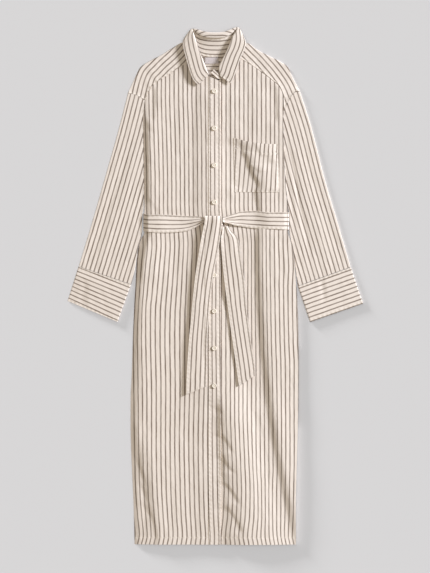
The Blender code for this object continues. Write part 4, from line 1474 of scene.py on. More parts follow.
@dataclass(frozen=True)
class TurnedFold:
    """How a grid's rows run in from a folded edge, close together on its roll."""

    rows: int = 34
    roll_rows: int = 5
    roll: float = 0.03

    def reach(self, r: Array) -> Array:
        """The share of the way in from the fold at row numbers."""
        beyond = mix(self.roll, 1.0, (r - self.roll_rows) / (self.rows - self.roll_rows))
        return np.where(r < self.roll_rows, r / self.roll_rows * self.roll, beyond)

    def swell(self, reach: Array) -> Array:
        """The share of half the fold's height that is gained a reach away from its edge."""
        share = np.clip(reach / self.roll, 0.0, 1.0)
        return np.sqrt(1.0 - (1.0 - share) ** 2)


@dataclass(frozen=True)
class Shoulder:
    """One shoulder of the yoke: its back layer, folded over into a front flap."""

    lay: Lay
    hand: Hand
    shoulder: Line
    end: Line
    seam: Line
    stripe: Line
    first_stripe: float
    back_seam: float
    fold: TurnedFold
    step: float = 3.6
    foot_rows: int = 8
    stitch_in: float = 2.2
    ridge: float = 0.45       # how high the seam's edge stands
    ridge_width: float = 3.0
    pucker: float = 0.1
    pucker_step: float = 3.1

    def across(self, x: Array, up: Array) -> Array:
        """Millimetres of cloth out from the flap's guiding stripe."""
        signed, _ = self.stripe.offset(x, up)
        return -self.hand.out * signed + self.first_stripe

    def add_to(self, sheet: ClothSheet) -> None:
        """Adds the shoulder's three grids.

        Args:
            sheet: The yoke.
        """
        rim = Line(self.end.spots + self.seam.spots[1:])
        shares = steps_along(rim, self.step)
        corner = len(steps_along(Line(self.end.spots), self.step)) - 1
        fold_x, fold_up = self.shoulder.at(shares)
        seam_x, seam_up = rim.at(shares)
        half = self.lay.yoke_fold_top / 2.0
        last = len(shares) - 1
        foot_x = mix(self.lay.side(np.array([self.back_seam]), self.hand)[0], seam_x[-1],
                     (np.arange(len(shares)) - corner) / (last - corner))

        def flap(c: Array, r: Array) -> Patch:
            """Cuts the front flap, from the fold over the shoulder to the front seam.

            Args:
                c, r: Column and row numbers.

            Returns:
                The patch there.
            """
            at, reach = c.astype(int), self.fold.reach(r)
            x, up = mix(fold_x[at], seam_x[at], reach), mix(fold_up[at], seam_up[at], reach)
            lie = np.where(at > 0, self.lay.front(x, up), self.lay.yoke_fold_top)
            top = mix(self.lay.yoke_fold_top, lie, ease(0.0, 0.5, reach))
            signed, gone = rim.offset(x, up)
            stitch = np.abs(signed) - self.stitch_in
            ridge = self.ridge * np.exp(-((stitch + self.stitch_in) / self.ridge_width) ** 2) \
                + self.pucker * np.sin(gone / self.pucker_step)
            rumple = self.lay.crinkle.at(x + 0.4 * up, up) * ease(0.0, 0.2, reach)
            z = half + (top - half) * self.fold.swell(reach) \
                + (ridge + rumple) * ease(0.0, 0.3, reach)
            return Patch(x, up, z, self.across(x, up), gone, stitch, gone)

        def back(c: Array, r: Array) -> Patch:
            """Cuts the layer below the flap.

            Args:
                c, r: Column and row numbers.

            Returns:
                The patch there.
            """
            at, reach = c.astype(int), self.fold.reach(r)
            x, up = mix(fold_x[at], seam_x[at], reach), mix(fold_up[at], seam_up[at], reach)
            mirrored = 2.0 * self.across(fold_x[at], fold_up[at]) - self.across(x, up)
            return Patch(x, up, half * (1.0 - self.fold.swell(reach)), mirrored, up, FAR, up)

        def foot(c: Array, r: Array) -> Patch:
            """Cuts the rest of the back layer, down to the back panel.

            Args:
                c, r: Column and row numbers.

            Returns:
                The patch there.
            """
            at, reach = c.astype(int) + corner, r / self.foot_rows
            x, up = mix(seam_x[at], foot_x[at], reach), mix(seam_up[at], self.back_seam, reach)
            turned = 2.0 * self.across(fold_x[at], fold_up[at]) \
                - self.across(seam_x[at], seam_up[at])
            return Patch(x, up, 0.0, turned + seam_up[at] - up, up, up - self.back_seam - 2.0, x)

        sheet.add(last, self.fold.rows, back).add(last - corner, self.foot_rows, foot)
        sheet.add(last, self.fold.rows, flap)


@dataclass(frozen=True)
class Yoke(Piece):
    """The yoke in one piece: two shoulders joined below the back neck."""

    neck_rise: float = 29.0
    back_seam: float = 1060.0
    stripe_drop: float = 4.0
    fold: TurnedFold = TurnedFold()
    foot_rows: int = 8
    wall: float = 0.9

    def shoulders(self) -> tuple[Shoulder, Shoulder]:
        """Lays out the shoulders, each with the stripe that its others keep their distance from.

        Returns:
            The wearer's right one and left one.
        """
        right = Line((Spot(-71.5, 1223.5), Spot(-98.5, 1193.6), Spot(-118.8, 1175.3),
                      Spot(-137.2, 1156.9), Spot(-151.7, 1140.7), Spot(-158.5, 1121.8),
                      Spot(-167.0, 1087.0)))
        left = Line((Spot(74.2, 1216.2), Spot(102.4, 1188.0), Spot(124.5, 1163.6),
                     Spot(144.1, 1139.0), Spot(161.2, 1112.0), Spot(171.0, 1087.6)))
        return (
            Shoulder(self.lay, Hand.RIGHT, Line(RIGHT_SHOULDER), Line(RIGHT_YOKE_END),
                     Line(RIGHT_YOKE_SEAM), right, 3.9, self.back_seam, self.fold),
            Shoulder(self.lay, Hand.LEFT, Line(LEFT_SHOULDER), Line(LEFT_YOKE_END),
                     Line(LEFT_YOKE_SEAM), left, 0.0, self.back_seam, self.fold),
        )

    def build(self) -> None:
        """Cuts the yoke and folds it over both shoulders."""
        sheet = ClothSheet("yoke")
        for shoulder in self.shoulders():
            shoulder.add_to(sheet)
        columns = 30
        half = self.lay.yoke_fold_top / 2.0
        fold = RIGHT_SHOULDER[-1], LEFT_SHOULDER[-1]
        seam = RIGHT_YOKE_SEAM[-1], LEFT_YOKE_SEAM[-1]

        def ends(c: Array) -> tuple[Array, Array, Array, Array]:
            """Finds where columns leave the back neck and where they cross the front seams' ends.

            Args:
                c: Column numbers.

            Returns:
                x and up at the neck, and x and up at the seams' ends.
            """
            share = c / columns
            fold_x = mix(fold[0].x, fold[1].x, share)
            middle = 0.5 * (self.lay.neck_left + self.lay.neck_right)
            out = np.abs(fold_x - middle) / (0.5 * (self.lay.neck_left - self.lay.neck_right))
            fold_up = self.lay.neck_back + self.neck_rise * np.minimum(out, 1.0) ** 3
            return (fold_x, fold_up, mix(seam[0].x, seam[1].x, share),
                    mix(seam[0].up, seam[1].up, share))

        def back(c: Array, r: Array) -> Patch:
            """Cuts the cloth below the back neck, with its ends on the shoulders' folds.

            Args:
                c, r: Column and row numbers.

            Returns:
                The patch there.
            """
            fold_x, fold_up, seam_x, seam_up = ends(c)
            reach = self.fold.reach(r)
            x, up = mix(fold_x, seam_x, reach), mix(fold_up, seam_up, reach)
            at_end = (c == 0) | (c == columns)
            rise = half * (1.0 - self.fold.swell(reach))
            return Patch(x, up, np.where(at_end, rise, 0.0),
                         up - self.lay.neck_back + self.stripe_drop, x, FAR, x)

        def foot(c: Array, r: Array) -> Patch:
            """Cuts the rest of the back, down to the back panel.

            Args:
                c, r: Column and row numbers.

            Returns:
                The patch there.
            """
            _, _, seam_x, seam_up = ends(c)
            up = mix(seam_up, self.back_seam, r / self.foot_rows)
            return Patch(seam_x, up, 0.0, up - self.lay.neck_back + self.stripe_drop, seam_x,
                         up - self.back_seam - 2.0, seam_x)

        sheet.add(columns, self.fold.rows, back).add(columns, self.foot_rows, foot)
        made = sheet.finish(Facing.OUT, self.wall, self.wardrobe.pressed)


# ---------------------------------------------------------------- sleeves and cuffs

class TubeCrease(NamedTuple):
    """A crease along a tube, in shares of its width and of its length."""

    across_start: float
    across_end: float
    down_start: float
    down_end: float
    half_width: float
    height: float

    def along(self, down: Array) -> Array:
        """The share of the way along the crease, from the share down the tube."""
        return (down - self.down_start) / (self.down_end - self.down_start)

    def profile(self, across: Array, along: Array) -> Array:
        """1 on the crease's line, and less beside it."""
        line = mix(self.across_start, self.across_end, along)
        return np.exp(-((across - line) / self.half_width) ** 2)


@dataclass(frozen=True)
class FlatTube:
    """A tube of cloth lying flat, made on a ring of shares across it."""

    node: str
    shares: Array
    rows: int
    roll: float = 0.004

    def ring(self) -> Array:
        """Walks round the tube once.

        Returns:
            Pairs of the share across and the share of the tube's height.
        """
        inner = self.shares[(self.shares > 1.3 * self.roll) & (self.shares < 1.0 - 1.3 * self.roll)]
        flat = np.concatenate(([self.roll], inner, [1.0 - self.roll]))
        turn = np.linspace(0.0, math.pi, 9)[1:-1]
        inset, level = self.roll * (1.0 - np.sin(turn)), 0.5 - 0.5 * np.cos(turn)
        sides = ((flat, np.zeros(len(flat))), (1.0 - inset, level),
                 (flat[::-1], np.ones(len(flat))), (inset[::-1], level[::-1]))
        return np.concatenate([np.stack(side, axis=1) for side in sides])

    def sheet(self, cut: Callable[[Array, Array, Array], Patch]) -> ClothSheet:
        """Makes the tube.

        Args:
            cut: Gives the patch at shares across, down and of the tube's height.

        Returns:
            The open-ended tube.
        """
        ring = self.ring()

        def place(c: Array, r: Array) -> Patch:
            """Cuts the tube at column and row numbers."""
            at = ring[c.astype(int) % len(ring)]
            return cut(at[:, 0], r / self.rows, at[:, 1])

        return ClothSheet(self.node).add(len(ring), self.rows, place)


@dataclass(frozen=True)
class Sleeve(Piece):
    """A sleeve, stretched between the armhole, the cuff seam and its two folded edges."""

    hand: Hand
    inner: Line
    outer: Line
    armhole_heights: tuple[float, ...]
    yoke_end: tuple[Spot, ...]
    first_stripe: float
    creases: tuple[TubeCrease, ...]
    step: float = 3.4
    rows: int = 128
    top_height: float = 4.4
    fuller: float = 1.3       # its rumpling, against the body's
    pucker: float = 0.35
    pucker_step: float = 3.3
    pucker_fade: float = 60.0
    length: float = 400.0
    stitch_in: float = 4.0
    wall: float = 0.8

    def armhole(self) -> Line:
        """Follows the seam with the body, then the end of the yoke.

        Returns:
            The line, a seam's width clear of both.
        """
        out, gap = self.hand.out, self.lay.seam
        sides = self.lay.side(np.array(self.armhole_heights), self.hand)
        spots = [self.inner.spots[0]]
        spots += [Spot(x + out * 1.6 * gap, up) for x, up in zip(sides, self.armhole_heights)]
        spots += [Spot(spot.x + out * gap, spot.up - gap) for spot in self.yoke_end[:0:-1]]
        return Line(tuple(spots + [self.outer.spots[0]]))

    def height(self, across: Array, down: Array) -> Array:
        """Reads the height of the sleeve's upper side.

        Args:
            across: Shares of the way across.
            down: Shares of the way down to the cuff.

        Returns:
            The heights there.
        """
        top = mix(self.lay.yoke_fold_top, self.top_height, ease(0.0, 0.25, down))
        for crease in self.creases:
            t = crease.along(down)
            fade = ease(-0.15, 0.2, t) * (1.0 - ease(0.8, 1.15, t))
            top = top + crease.height * fade * crease.profile(across, t)
        return top

    def build(self) -> None:
        """Cuts the sleeve and lays it beside the body."""
        armhole = self.armhole()
        tube = FlatTube(f"{self.hand.value}_sleeve", steps_along(armhole, self.step), self.rows)
        lines = self.inner, self.outer

        def cut(across: Array, down: Array, level: Array) -> Patch:
            """Stretches the sleeve between its four edges.

            Args:
                across: Shares of the way across.
                down: Shares of the way down to the cuff.
                level: Shares of the tube's height.

            Returns:
                The patch there.
            """
            sewn, folds = armhole.at(across), [line.at(down) for line in lines]
            found = []
            for axis in (0, 1):
                top, end = (mix(*(line.spots[row][axis] for line in lines), across)
                            for row in (0, -1))
                sides = mix(*(fold[axis] for fold in folds), across)
                found.append(mix(sewn[axis], end, down) + sides - mix(top, end, down))
            x, up = found
            signed, gone = self.outer.offset(x, up)
            inside = self.hand.out * signed
            rumple = self.lay.crinkle.at(inside * self.fuller, gone) * ease(0.0, 0.06, down) \
                * self.fuller
            pucker = self.pucker * np.sin(up / self.pucker_step + across * 9.0) \
                * np.exp(-((down * self.pucker_fade) ** 2))
            z = level * (self.height(across, down) + rumple + pucker)
            return Patch(x, up, z, inside - self.first_stripe, gone,
                         down * self.length + self.stitch_in, up)

        made = tube.sheet(cut).finish(Facing.OUT, self.wall, self.wardrobe.washed)


@dataclass(frozen=True)
class Cuff(Piece):
    """A deep cuff: a flat tube that is a little fuller than the sleeve."""

    hand: Hand
    top_inner: Spot
    top_outer: Spot
    end_outer: Spot
    end_inner: Spot
    first_inner: float
    first_outer: float
    crease: TubeCrease
    sunk: float               # how much its outer end is flattened
    width: float = 135.0
    sleeve_top: float = 4.4
    top_height: float = 5.0
    seam_ridge: float = 0.5
    wave: float = 0.3
    stitch_in: float = 2.5
    wall: float = 1.1

    def build(self) -> None:
        """Cuts the cuff and lays it at the sleeve's end."""
        tube = FlatTube(f"{self.hand.value}_cuff", np.linspace(0.0, 1.0, 45), 32)
        depth = math.hypot(self.end_inner.x - self.top_inner.x,
                           self.end_inner.up - self.top_inner.up)
        gap = self.lay.seam * 1.5 / depth

        def cut(across: Array, down: Array, level: Array) -> Patch:
            """Cuts the cuff between its four corners.

            Args:
                across: Shares of the way across.
                down: Shares of the way down from the sleeve.
                level: Shares of the tube's height.

            Returns:
                The patch there.
            """
            share = mix(gap, 1.0, down)
            x = mix(mix(self.top_inner.x, self.top_outer.x, across),
                    mix(self.end_inner.x, self.end_outer.x, across), share)
            up = mix(mix(self.top_inner.up, self.top_outer.up, across),
                     mix(self.end_inner.up, self.end_outer.up, across), share)
            full = mix(self.sleeve_top, self.top_height, ease(0.0, 0.3, down))
            along = self.crease.along(down)
            folded = -self.crease.height * self.crease.profile(across, along)
            folded = folded * ease(-0.2, 0.3, along) * ease(1.2, 0.7, along)
            folded = folded + self.sunk * ease(0.70, 0.97, across) * ease(0.2, 0.7, down)
            ridge = self.seam_ridge * np.exp(-((down * depth - 1.5) / 2.0) ** 2)
            wave = self.wave * np.sin(5.0 * across + 1.3) * down + self.lay.crinkle.at(x, up)
            z = level * (full - folded + ridge + wave)
            gone = share * depth
            edge = np.minimum(down * depth, (1.0 - down) * depth)
            first = mix(self.first_inner, self.first_outer, across)
            dyed = np.maximum(gone - first, -0.5 * PITCH)
            return Patch(x, up, z, dyed, across * self.width, edge - self.stitch_in,
                         across * self.width)

        made = tube.sheet(cut).finish(Facing.OUT, self.wall, self.wardrobe.pressed)


# ---------------------------------------------------------------- collar

@dataclass(frozen=True)
class Collar(Piece):
    """A shirt collar: a folded leaf on a stand whose left end is undone."""

    roll_radius: float = 2.6
    roll_spread: float = 9.5
    roll_reach: float = 8.0
    rise: float = 0.25        # the share of the leaf that goes up and over its roll
    steps: int = 6            # columns between two sections
    first_leaf_stripe: float = 3.8
    first_stand_stripe: float = 6.0
    leaf_rim: float = 0.25
    leaf_stitch: float = 5.0
    stand_stitch: float = 2.5
    leaf_wall: float = 1.2
    stand_wall: float = 1.1

    def leaf_points(self, place: Array, share: Array) -> tuple[Array, Array, Array]:
        """Finds points of the leaf.

        Args:
            place: The section's number, with a fraction.
            share: The way from the seam with the stand (0) over the roll to the free edge (1).

        Returns:
            x, up and z.
        """
        (roll_x, roll_up, roll_z, edge_x, edge_up, edge_z, facing, tuck, _, _) = round_rows(
            COLLAR, Section._fields[1:], place)
        out_x, out_up = np.cos(np.radians(facing)), np.sin(np.radians(facing))
        lean = math.pi / 2.0 * (1.0 - np.minimum(share / self.rise, 1.0))
        wide = self.roll_radius + self.roll_spread * ease(0.0, 40.0, tuck)
        out = self.roll_radius - wide * np.sin(lean)
        arc = (roll_x + out_x * out, roll_up + out_up * out,
               roll_z - self.roll_radius * (1.0 - np.cos(lean)))
        t = np.clip((share - self.rise) / (1.0 - self.rise), 0.0, 1.0)
        controls = (
            (roll_x + out_x * self.roll_radius, roll_up + out_up * self.roll_radius, roll_z),
            (roll_x + out_x * self.roll_reach, roll_up + out_up * self.roll_reach, roll_z + 0.4),
            (edge_x + out_x * tuck, edge_up + out_up * tuck, edge_z + 0.6),
            (edge_x, edge_up, edge_z),
        )
        weights = ((1 - t) ** 3, 3 * t * (1 - t) ** 2, 3 * t * t * (1 - t), t ** 3)
        fall = [sum(w * c[axis] for w, c in zip(weights, controls)) for axis in range(3)]
        return tuple(np.where(share < self.rise, a, b) for a, b in zip(arc, fall))

    def leaf(self) -> None:
        """Cuts the leaf and folds it over."""
        columns, rows = self.steps * (len(COLLAR) - 1), 32
        at, share = np.meshgrid(np.linspace(0.0, len(COLLAR) - 1.0, columns + 1),
                                np.linspace(0.0, 1.0, rows + 1))
        x, up, z = self.leaf_points(at, share)
        down = np.sqrt(np.diff(x, axis=0) ** 2 + np.diff(up, axis=0) ** 2 + np.diff(z, axis=0) ** 2)
        from_edge = np.zeros(x.shape)
        from_edge[:-1] = np.cumsum(down[::-1], axis=0)[::-1]
        gone = np.zeros(x.shape)
        gone[:, 1:] = np.cumsum(np.hypot(np.diff(x, axis=1), np.diff(up, axis=1)), axis=1)
        end = np.minimum(gone, gone[:, -1:] - gone)
        edge = np.minimum(from_edge, end)

        def cut(c: Array, r: Array) -> Patch:
            """Cuts the leaf, with a crisp rim on its free edges.

            Args:
                c, r: Column and row numbers.

            Returns:
                The patch there.
            """
            i, j = r.astype(int), c.astype(int)
            crisp = self.leaf_rim * np.exp(-((edge[i, j] - 2.0) / 1.6) ** 2)
            free = ease(self.rise, self.rise + 0.2, share[i, j])
            return Patch(x[i, j], up[i, j], z[i, j] + crisp * free,
                         from_edge[i, j] - self.first_leaf_stripe, gone[rows, j],
                         edge[i, j] - self.leaf_stitch,
                         np.where(from_edge[i, j] < end[i, j], gone[i, j], from_edge[i, j]))

        made = ClothSheet("collar_leaf").add(columns, rows, cut)
        made = made.finish(Facing.UP, self.leaf_wall, self.wardrobe.pressed)

    def stand_sections(self) -> list[StandEnd]:
        """Sets out the stand: round the neck below the leaf, then its undone end.

        Returns:
            Its stations, from the wearer's right.
        """
        places = np.linspace(0.0, len(COLLAR) - 1.0, self.steps * (len(COLLAR) - 1) + 1)
        facing, tuck, foot_x, foot_up = round_rows(
            COLLAR, ("facing", "tuck", "foot_x", "foot_up"), places)
        x, up, z = self.leaf_points(places, np.zeros(len(places)))
        behind = ease(0.0, 30.0, tuck)
        foot_z = self.lay.lie_on(self.lay.neck_edge, foot_x, foot_up, 3.0) + self.lay.wall * behind
        top_z = z - self.lay.wall - 2.0 * self.lay.seam - self.lay.wall * (1.0 - behind)
        turn = np.radians(facing)
        top_x, top_up = x + 0.8 * np.cos(turn), up + 0.8 * np.sin(turn)
        found = [StandEnd(*values) for values in zip(
            foot_x, foot_up, foot_z, top_x, top_up, top_z, behind)]
        undone = round_rows([found[-1], *STAND_END], StandEnd._fields,
                            np.linspace(0.0, len(STAND_END), self.steps * len(STAND_END) + 1)[1:])
        return found + [StandEnd(*values) for values in zip(*undone)]

    def stand(self) -> None:
        """Cuts the stand: its foot lies on the neck edge and its top laps under the leaf."""
        rows = 14
        sections = self.stand_sections()
        foot_x, foot_up, foot_z, top_x, top_up, top_z, behind = (
            column(sections, name) for name in StandEnd._fields)
        gone = walked(foot_x, foot_up)

        def cut(c: Array, r: Array) -> Patch:
            """Cuts the stand between its foot and its top.

            Args:
                c, r: Column and row numbers.

            Returns:
                The patch there.
            """
            at, share = c.astype(int), r / rows
            swell = mix(1.0 - (1.0 - share) ** 2, share ** 2, behind[at])
            height = np.sqrt((top_x - foot_x) ** 2 + (top_up - foot_up) ** 2
                             + (top_z - foot_z) ** 2)[at]
            rise = share * np.maximum(height, 1.0)
            ends = np.minimum(gone[at], gone[-1] - gone[at])
            edge = np.minimum(np.minimum(rise, height - rise), ends)
            return Patch(mix(foot_x[at], top_x[at], share), mix(foot_up[at], top_up[at], share),
                         mix(foot_z[at], top_z[at], swell), rise - self.first_stand_stripe,
                         gone[at], edge - self.stand_stitch, gone[at])

        made = ClothSheet("collar_stand").add(len(sections) - 1, rows, cut)
        made = made.finish(Facing.UP_BEHIND, self.stand_wall, self.wardrobe.pressed)


@dataclass(frozen=True)
class NeckLabel(Piece):
    """A plain woven label, bare of any lettering, sewn inside the back yoke."""

    right: float = -26.0
    left: float = 8.0
    low: float = 1176.0
    high: float = 1191.5
    top: float = 2.5
    end_drop: float = 0.5
    ripple: float = 0.12
    wall: float = 0.5

    def build(self) -> None:
        """Cuts the ribbon and folds its two ends under."""
        columns, rows = 28, 14

        def cut(c: Array, r: Array) -> Patch:
            """Cuts the ribbon.

            Args:
                c, r: Column and row numbers.

            Returns:
                The patch there.
            """
            x, up = mix(self.right, self.left, c / columns), mix(self.low, self.high, r / rows)
            side = np.minimum(x - self.right, self.left - x)
            z = self.top - self.end_drop * np.exp(-side / 1.2) \
                - self.ripple * np.cos((up - self.low) / 3.0)
            return Patch(x, up, z, x, up, FAR, x)

        made = ClothSheet("neck_label", "ribbon", "label_ribbon").add(columns, rows, cut)
        made = made.finish(Facing.UP, self.wall, self.wardrobe.ribbon)


# ---------------------------------------------------------------- belt

@dataclass(frozen=True)
class Belt(Piece):
    """The tie belt: once round the waist, a knot and two hanging ends."""

    width: float = 44.0
    felt: float = 5.0         # how far round a place the waist feels what it lies on
    tail_felt: float = 8.0
    first_stripe: float = 2.5
    stitch_in: float = 2.2
    front_run: float = 128.0  # how far from the knot the belt has left the fronts
    gathered: float = 62.0    # how far from the knot it is gathered
    gather: float = 1.5
    lip: float = 0.7
    sag: float = 0.5
    rim: float = 1.6
    rim_drop: float = 0.5
    tail_rim_drop: float = 0.1
    tail_pleat: float = 0.9
    tail_wave: float = 0.45
    tail_curl: float = 0.1
    bridge_slope: float = 0.04
    bridge_drop: float = 2.6  # how much lower an end that hangs beside the placket lies
    knot: Spot = Spot(-2.0, 784.0)
    knot_half: tuple[float, float, float] = (20.0, 13.0, 3.3)
    wall: float = 1.1

    def over(self, run: BeltRun) -> BeltTurn:
        """Lays a station of the belt on the fronts."""
        under = self.lay.lie_on(self.lay.top, np.full(2, float(run.x)),
                                np.array([run.top, run.bottom]), self.felt)
        return BeltTurn(run.x, run.top, run.bottom, float(np.max(under)) + self.lay.wall + run.lift)

    def waist(self) -> None:
        """Cuts the belt and passes it round the body."""
        stations = [self.over(run) for run in RIGHT_RUN]
        stations += RIGHT_TURN + UNDER_BACK + LEFT_TURN
        stations += [self.over(run) for run in reversed(LEFT_RUN)]
        gone = walked(column(stations, "x"), column(stations, "z"))
        places = [0.0]
        for start, end in zip(gone, gone[1:]):
            parts = max(4, math.ceil((end - start) / 3.0))
            places += list(np.linspace(start, end, parts + 1)[1:])
        places = np.array(places)
        x, top, bottom, z = (smooth_curve(gone, column(stations, name), places)
                             for name in BeltTurn._fields)
        half = gone[-1] / 2.0
        rows = 20

        def cut(c: Array, r: Array) -> Patch:
            """Cuts the belt, gathered towards the knot and flat under the back.

            Args:
                c, r: Column and row numbers.

            Returns:
                The patch there.
            """
            at, share = c.astype(int), r / rows
            from_knot = np.minimum(places[at], gone[-1] - places[at])
            in_front = 1.0 - ease(self.front_run, self.front_run + 12.0, from_knot)
            gathered = (1.0 - ease(0.0, self.gathered, from_knot)) * in_front
            on_right = places[at] < half
            pleat = np.where(on_right, np.cos(2.0 * math.pi * (1.6 * share + 0.15)),
                             np.cos(2.0 * math.pi * (1.3 * share - 0.1)))
            lip = np.exp(-((share - 0.10) / 0.09) ** 2) * (1.0 - ease(40.0, 110.0, from_knot))
            sag = self.sag * np.sin(from_knot / 17.0 + 2.0 * share) * ease(20.0, 60.0, from_knot)
            relief = (self.gather * gathered * pleat + self.lip * lip
                      + sag * (share - 0.5)) * in_front
            edge = np.minimum(share, 1.0 - share) * self.width
            rounded = self.rim_drop * (1.0 - ease(0.0, self.rim, edge)) * in_front
            dyed = (1.0 - share) * self.width - self.first_stripe
            return Patch(x[at], mix(bottom[at], top[at], share), z[at] + relief - rounded, dyed,
                         places[at], edge - self.stitch_in, places[at])

        made = ClothSheet("belt_waist").add(len(places) - 1, rows, cut)
        made = made.finish(Facing.OUT, self.wall, self.wardrobe.pressed)

    def tail(self, node: str, rows: tuple[Tail, ...], first: float) -> None:
        """Cuts a free end and lays it on the skirt.

        Args:
            node: The end's node.
            rows: The table of its stations.
            first: The distance from its edge to the first stripe.
        """
        columns, stations = 18, 150

        def cut(c: Array, r: Array) -> Patch:
            """Cuts the end, which bridges from its right-hand edge over what is lower.

            Args:
                c, r: Column and row numbers.

            Returns:
                The patch there.
            """
            values = round_rows(rows, Tail._fields, r / stations * (len(rows) - 1))
            up_right, up_left, right, left, lift_right, lift_left = values
            share = c / columns
            x, up = mix(right, left, share), mix(up_right, up_left, share)
            lift = mix(lift_right, lift_left, share)
            down = (rows[0].up_left - up) / (rows[0].up_left - rows[-1].up_left)
            ledge = np.minimum(right, self.lay.placket_edge)
            bridge = self.lay.lie_on(self.lay.top, ledge, up_right, self.tail_felt)
            bridge = bridge - self.bridge_slope * (x - right) \
                - self.bridge_drop * ease(17.0, 42.0, right)
            z = np.maximum(self.lay.lie_on(self.lay.top, x, up, self.tail_felt), bridge)
            z = z + self.lay.wall + lift
            edge = np.minimum(share, 1.0 - share) * self.width
            gathered = 1.0 - ease(0.02, 0.28, down)
            pleat = self.tail_pleat * gathered * np.cos(2.0 * math.pi * (1.5 * share + 0.1))
            along = self.tail_wave * np.sin(up / 21.0 + 3.0 * share) * ease(0.1, 0.3, down)
            rolled = self.tail_curl * (np.abs(2.0 * share - 1.0) ** 3) * ease(0.0, 0.2, down)
            rim = self.tail_rim_drop * (1.0 - ease(0.0, self.rim, edge))
            z = z + pleat + along * (share - 0.5) - rolled - rim
            hem = np.abs(up - mix(rows[-1].up_right, rows[-1].up_left, share))
            sewn = np.minimum(edge, hem) - self.stitch_in
            return Patch(x, up, z, share * self.width - first, up, sewn,
                         np.where(edge < hem, up, x))

        made = ClothSheet(node).add(columns, stations, cut)
        made = made.finish(Facing.UP, self.wall, self.wardrobe.pressed)

    def tied(self) -> None:
        """Ties the knot, creased across where the belt bends."""
        grid_x, grid_up = np.meshgrid(self.knot.x + np.array([-15.0, 0.0, 15.0]),
                                      self.knot.up + np.array([-13.0, 0.0, 13.0]))
        base = float(np.max(self.lay.lie_on(self.lay.top, grid_x.ravel(), grid_up.ravel())))
        wide, deep, high = self.knot_half
        bm = bmesh.new()
        weave, sewing = surface_layers(bm)
        ball = bmesh.ops.create_uvsphere(bm, u_segments=56, v_segments=28, radius=1.0)
        for vertex in ball["verts"]:
            x, y, z = vertex.co
            turn = 1.0 + 0.05 * math.cos(9.0 * y + 2.0 * x) + 0.03 * math.cos(4.0 * x - 3.0 * y)
            vertex.co = in_metres(self.knot.x + wide * x * turn, self.knot.up + deep * y * turn,
                                  base + high + high * z * turn)
            vertex[weave] = ((deep * y + 5.0 * x) * MM, wide * x * MM, 0.0)
            vertex[sewing] = (FAR * MM, 0.0, 0.0)
        made = finish_mesh("belt_knot_cloth", bm, self.wardrobe.pressed)
        register(made, "striped_linen", "belt_knot")


# ---------------------------------------------------------------- buttons

@dataclass(frozen=True)
class Button(Piece):
    """A turned button with a raised rim and a dished face, held by two crossed stitches."""

    number: int
    up: float
    x: float = -2.4
    radius: float = 5.7
    thickness: float = 2.0
    felt: float = 5.0
    clear: float = 0.1
    stitch_half: tuple[float, float, float] = (2.3, 0.42, 0.38)
    stitch_up: float = 1.5
    buttonhole_half: tuple[float, float, float] = (1.1, 7.4, 0.2)
    buttonhole_up: float = -0.25

    def placed(self, x: float, up: float, z: float) -> Vector:
        """A place in metres, from millimetres off the middle of the button's underside."""
        at = self.lay.lie_on(self.lay.top, np.array([self.x]), np.array([self.up]), self.felt)
        return in_metres(self.x + x, self.up + up, float(at[0]) + self.clear + z)

    def turned(self) -> None:
        """Turns the button from its profile."""
        profile = ((0.0, 1.35), (2.6, 1.38), (3.3, 1.48), (3.9, 1.8), (4.5, self.thickness),
                   (5.1, 1.92), (5.55, 1.6), (self.radius, 1.1), (5.55, 0.5), (5.0, 0.15),
                   (4.0, 0.0), (0.0, 0.0))
        bm = bmesh.new()
        points = [bm.verts.new(self.placed(radius, 0.0, z)) for radius, z in profile]
        edges = [bm.edges.new(pair) for pair in zip(points, points[1:])]
        bmesh.ops.spin(bm, geom=points + edges, cent=self.placed(0.0, 0.0, 0.0),
                       axis=(0.0, 0.0, 1.0), angle=2.0 * math.pi, steps=40, use_merge=True)
        bmesh.ops.remove_doubles(bm, verts=bm.verts, dist=MERGED)
        bmesh.ops.recalc_face_normals(bm, faces=bm.faces)
        made = finish_mesh(f"button_{self.number}_turned", bm, self.wardrobe.resin)
        register(made, "button_shell", f"button_{self.number}")

    def sewn(self) -> None:
        """Sews the two crossed stitches, and works the buttonhole below."""
        bm = bmesh.new()
        for turn in (math.radians(45.0), math.radians(-45.0)):
            bar = bmesh.ops.create_uvsphere(bm, u_segments=16, v_segments=8, radius=1.0)["verts"]
            bmesh.ops.scale(bm, vec=[half * MM for half in self.stitch_half], verts=bar)
            bmesh.ops.rotate(bm, verts=bar, matrix=Matrix.Rotation(turn, 3, "Z"),
                             cent=(0.0, 0.0, 0.0))
            bmesh.ops.translate(bm, vec=self.placed(0.0, 0.0, self.stitch_up), verts=bar)
        hole = bmesh.ops.create_uvsphere(bm, u_segments=24, v_segments=8, radius=1.0)["verts"]
        bmesh.ops.scale(bm, vec=[half * MM for half in self.buttonhole_half], verts=hole)
        bmesh.ops.translate(bm, vec=self.placed(0.0, 0.0, self.buttonhole_up), verts=hole)
        register(finish_mesh(f"button_{self.number}_stitches", bm, self.wardrobe.thread),
                 "striped_linen")


# ---------------------------------------------------------------- studio

class LampKind(Enum):
    """The two kinds of lamp."""

    PANEL = "AREA"
    FAR = "SUN"


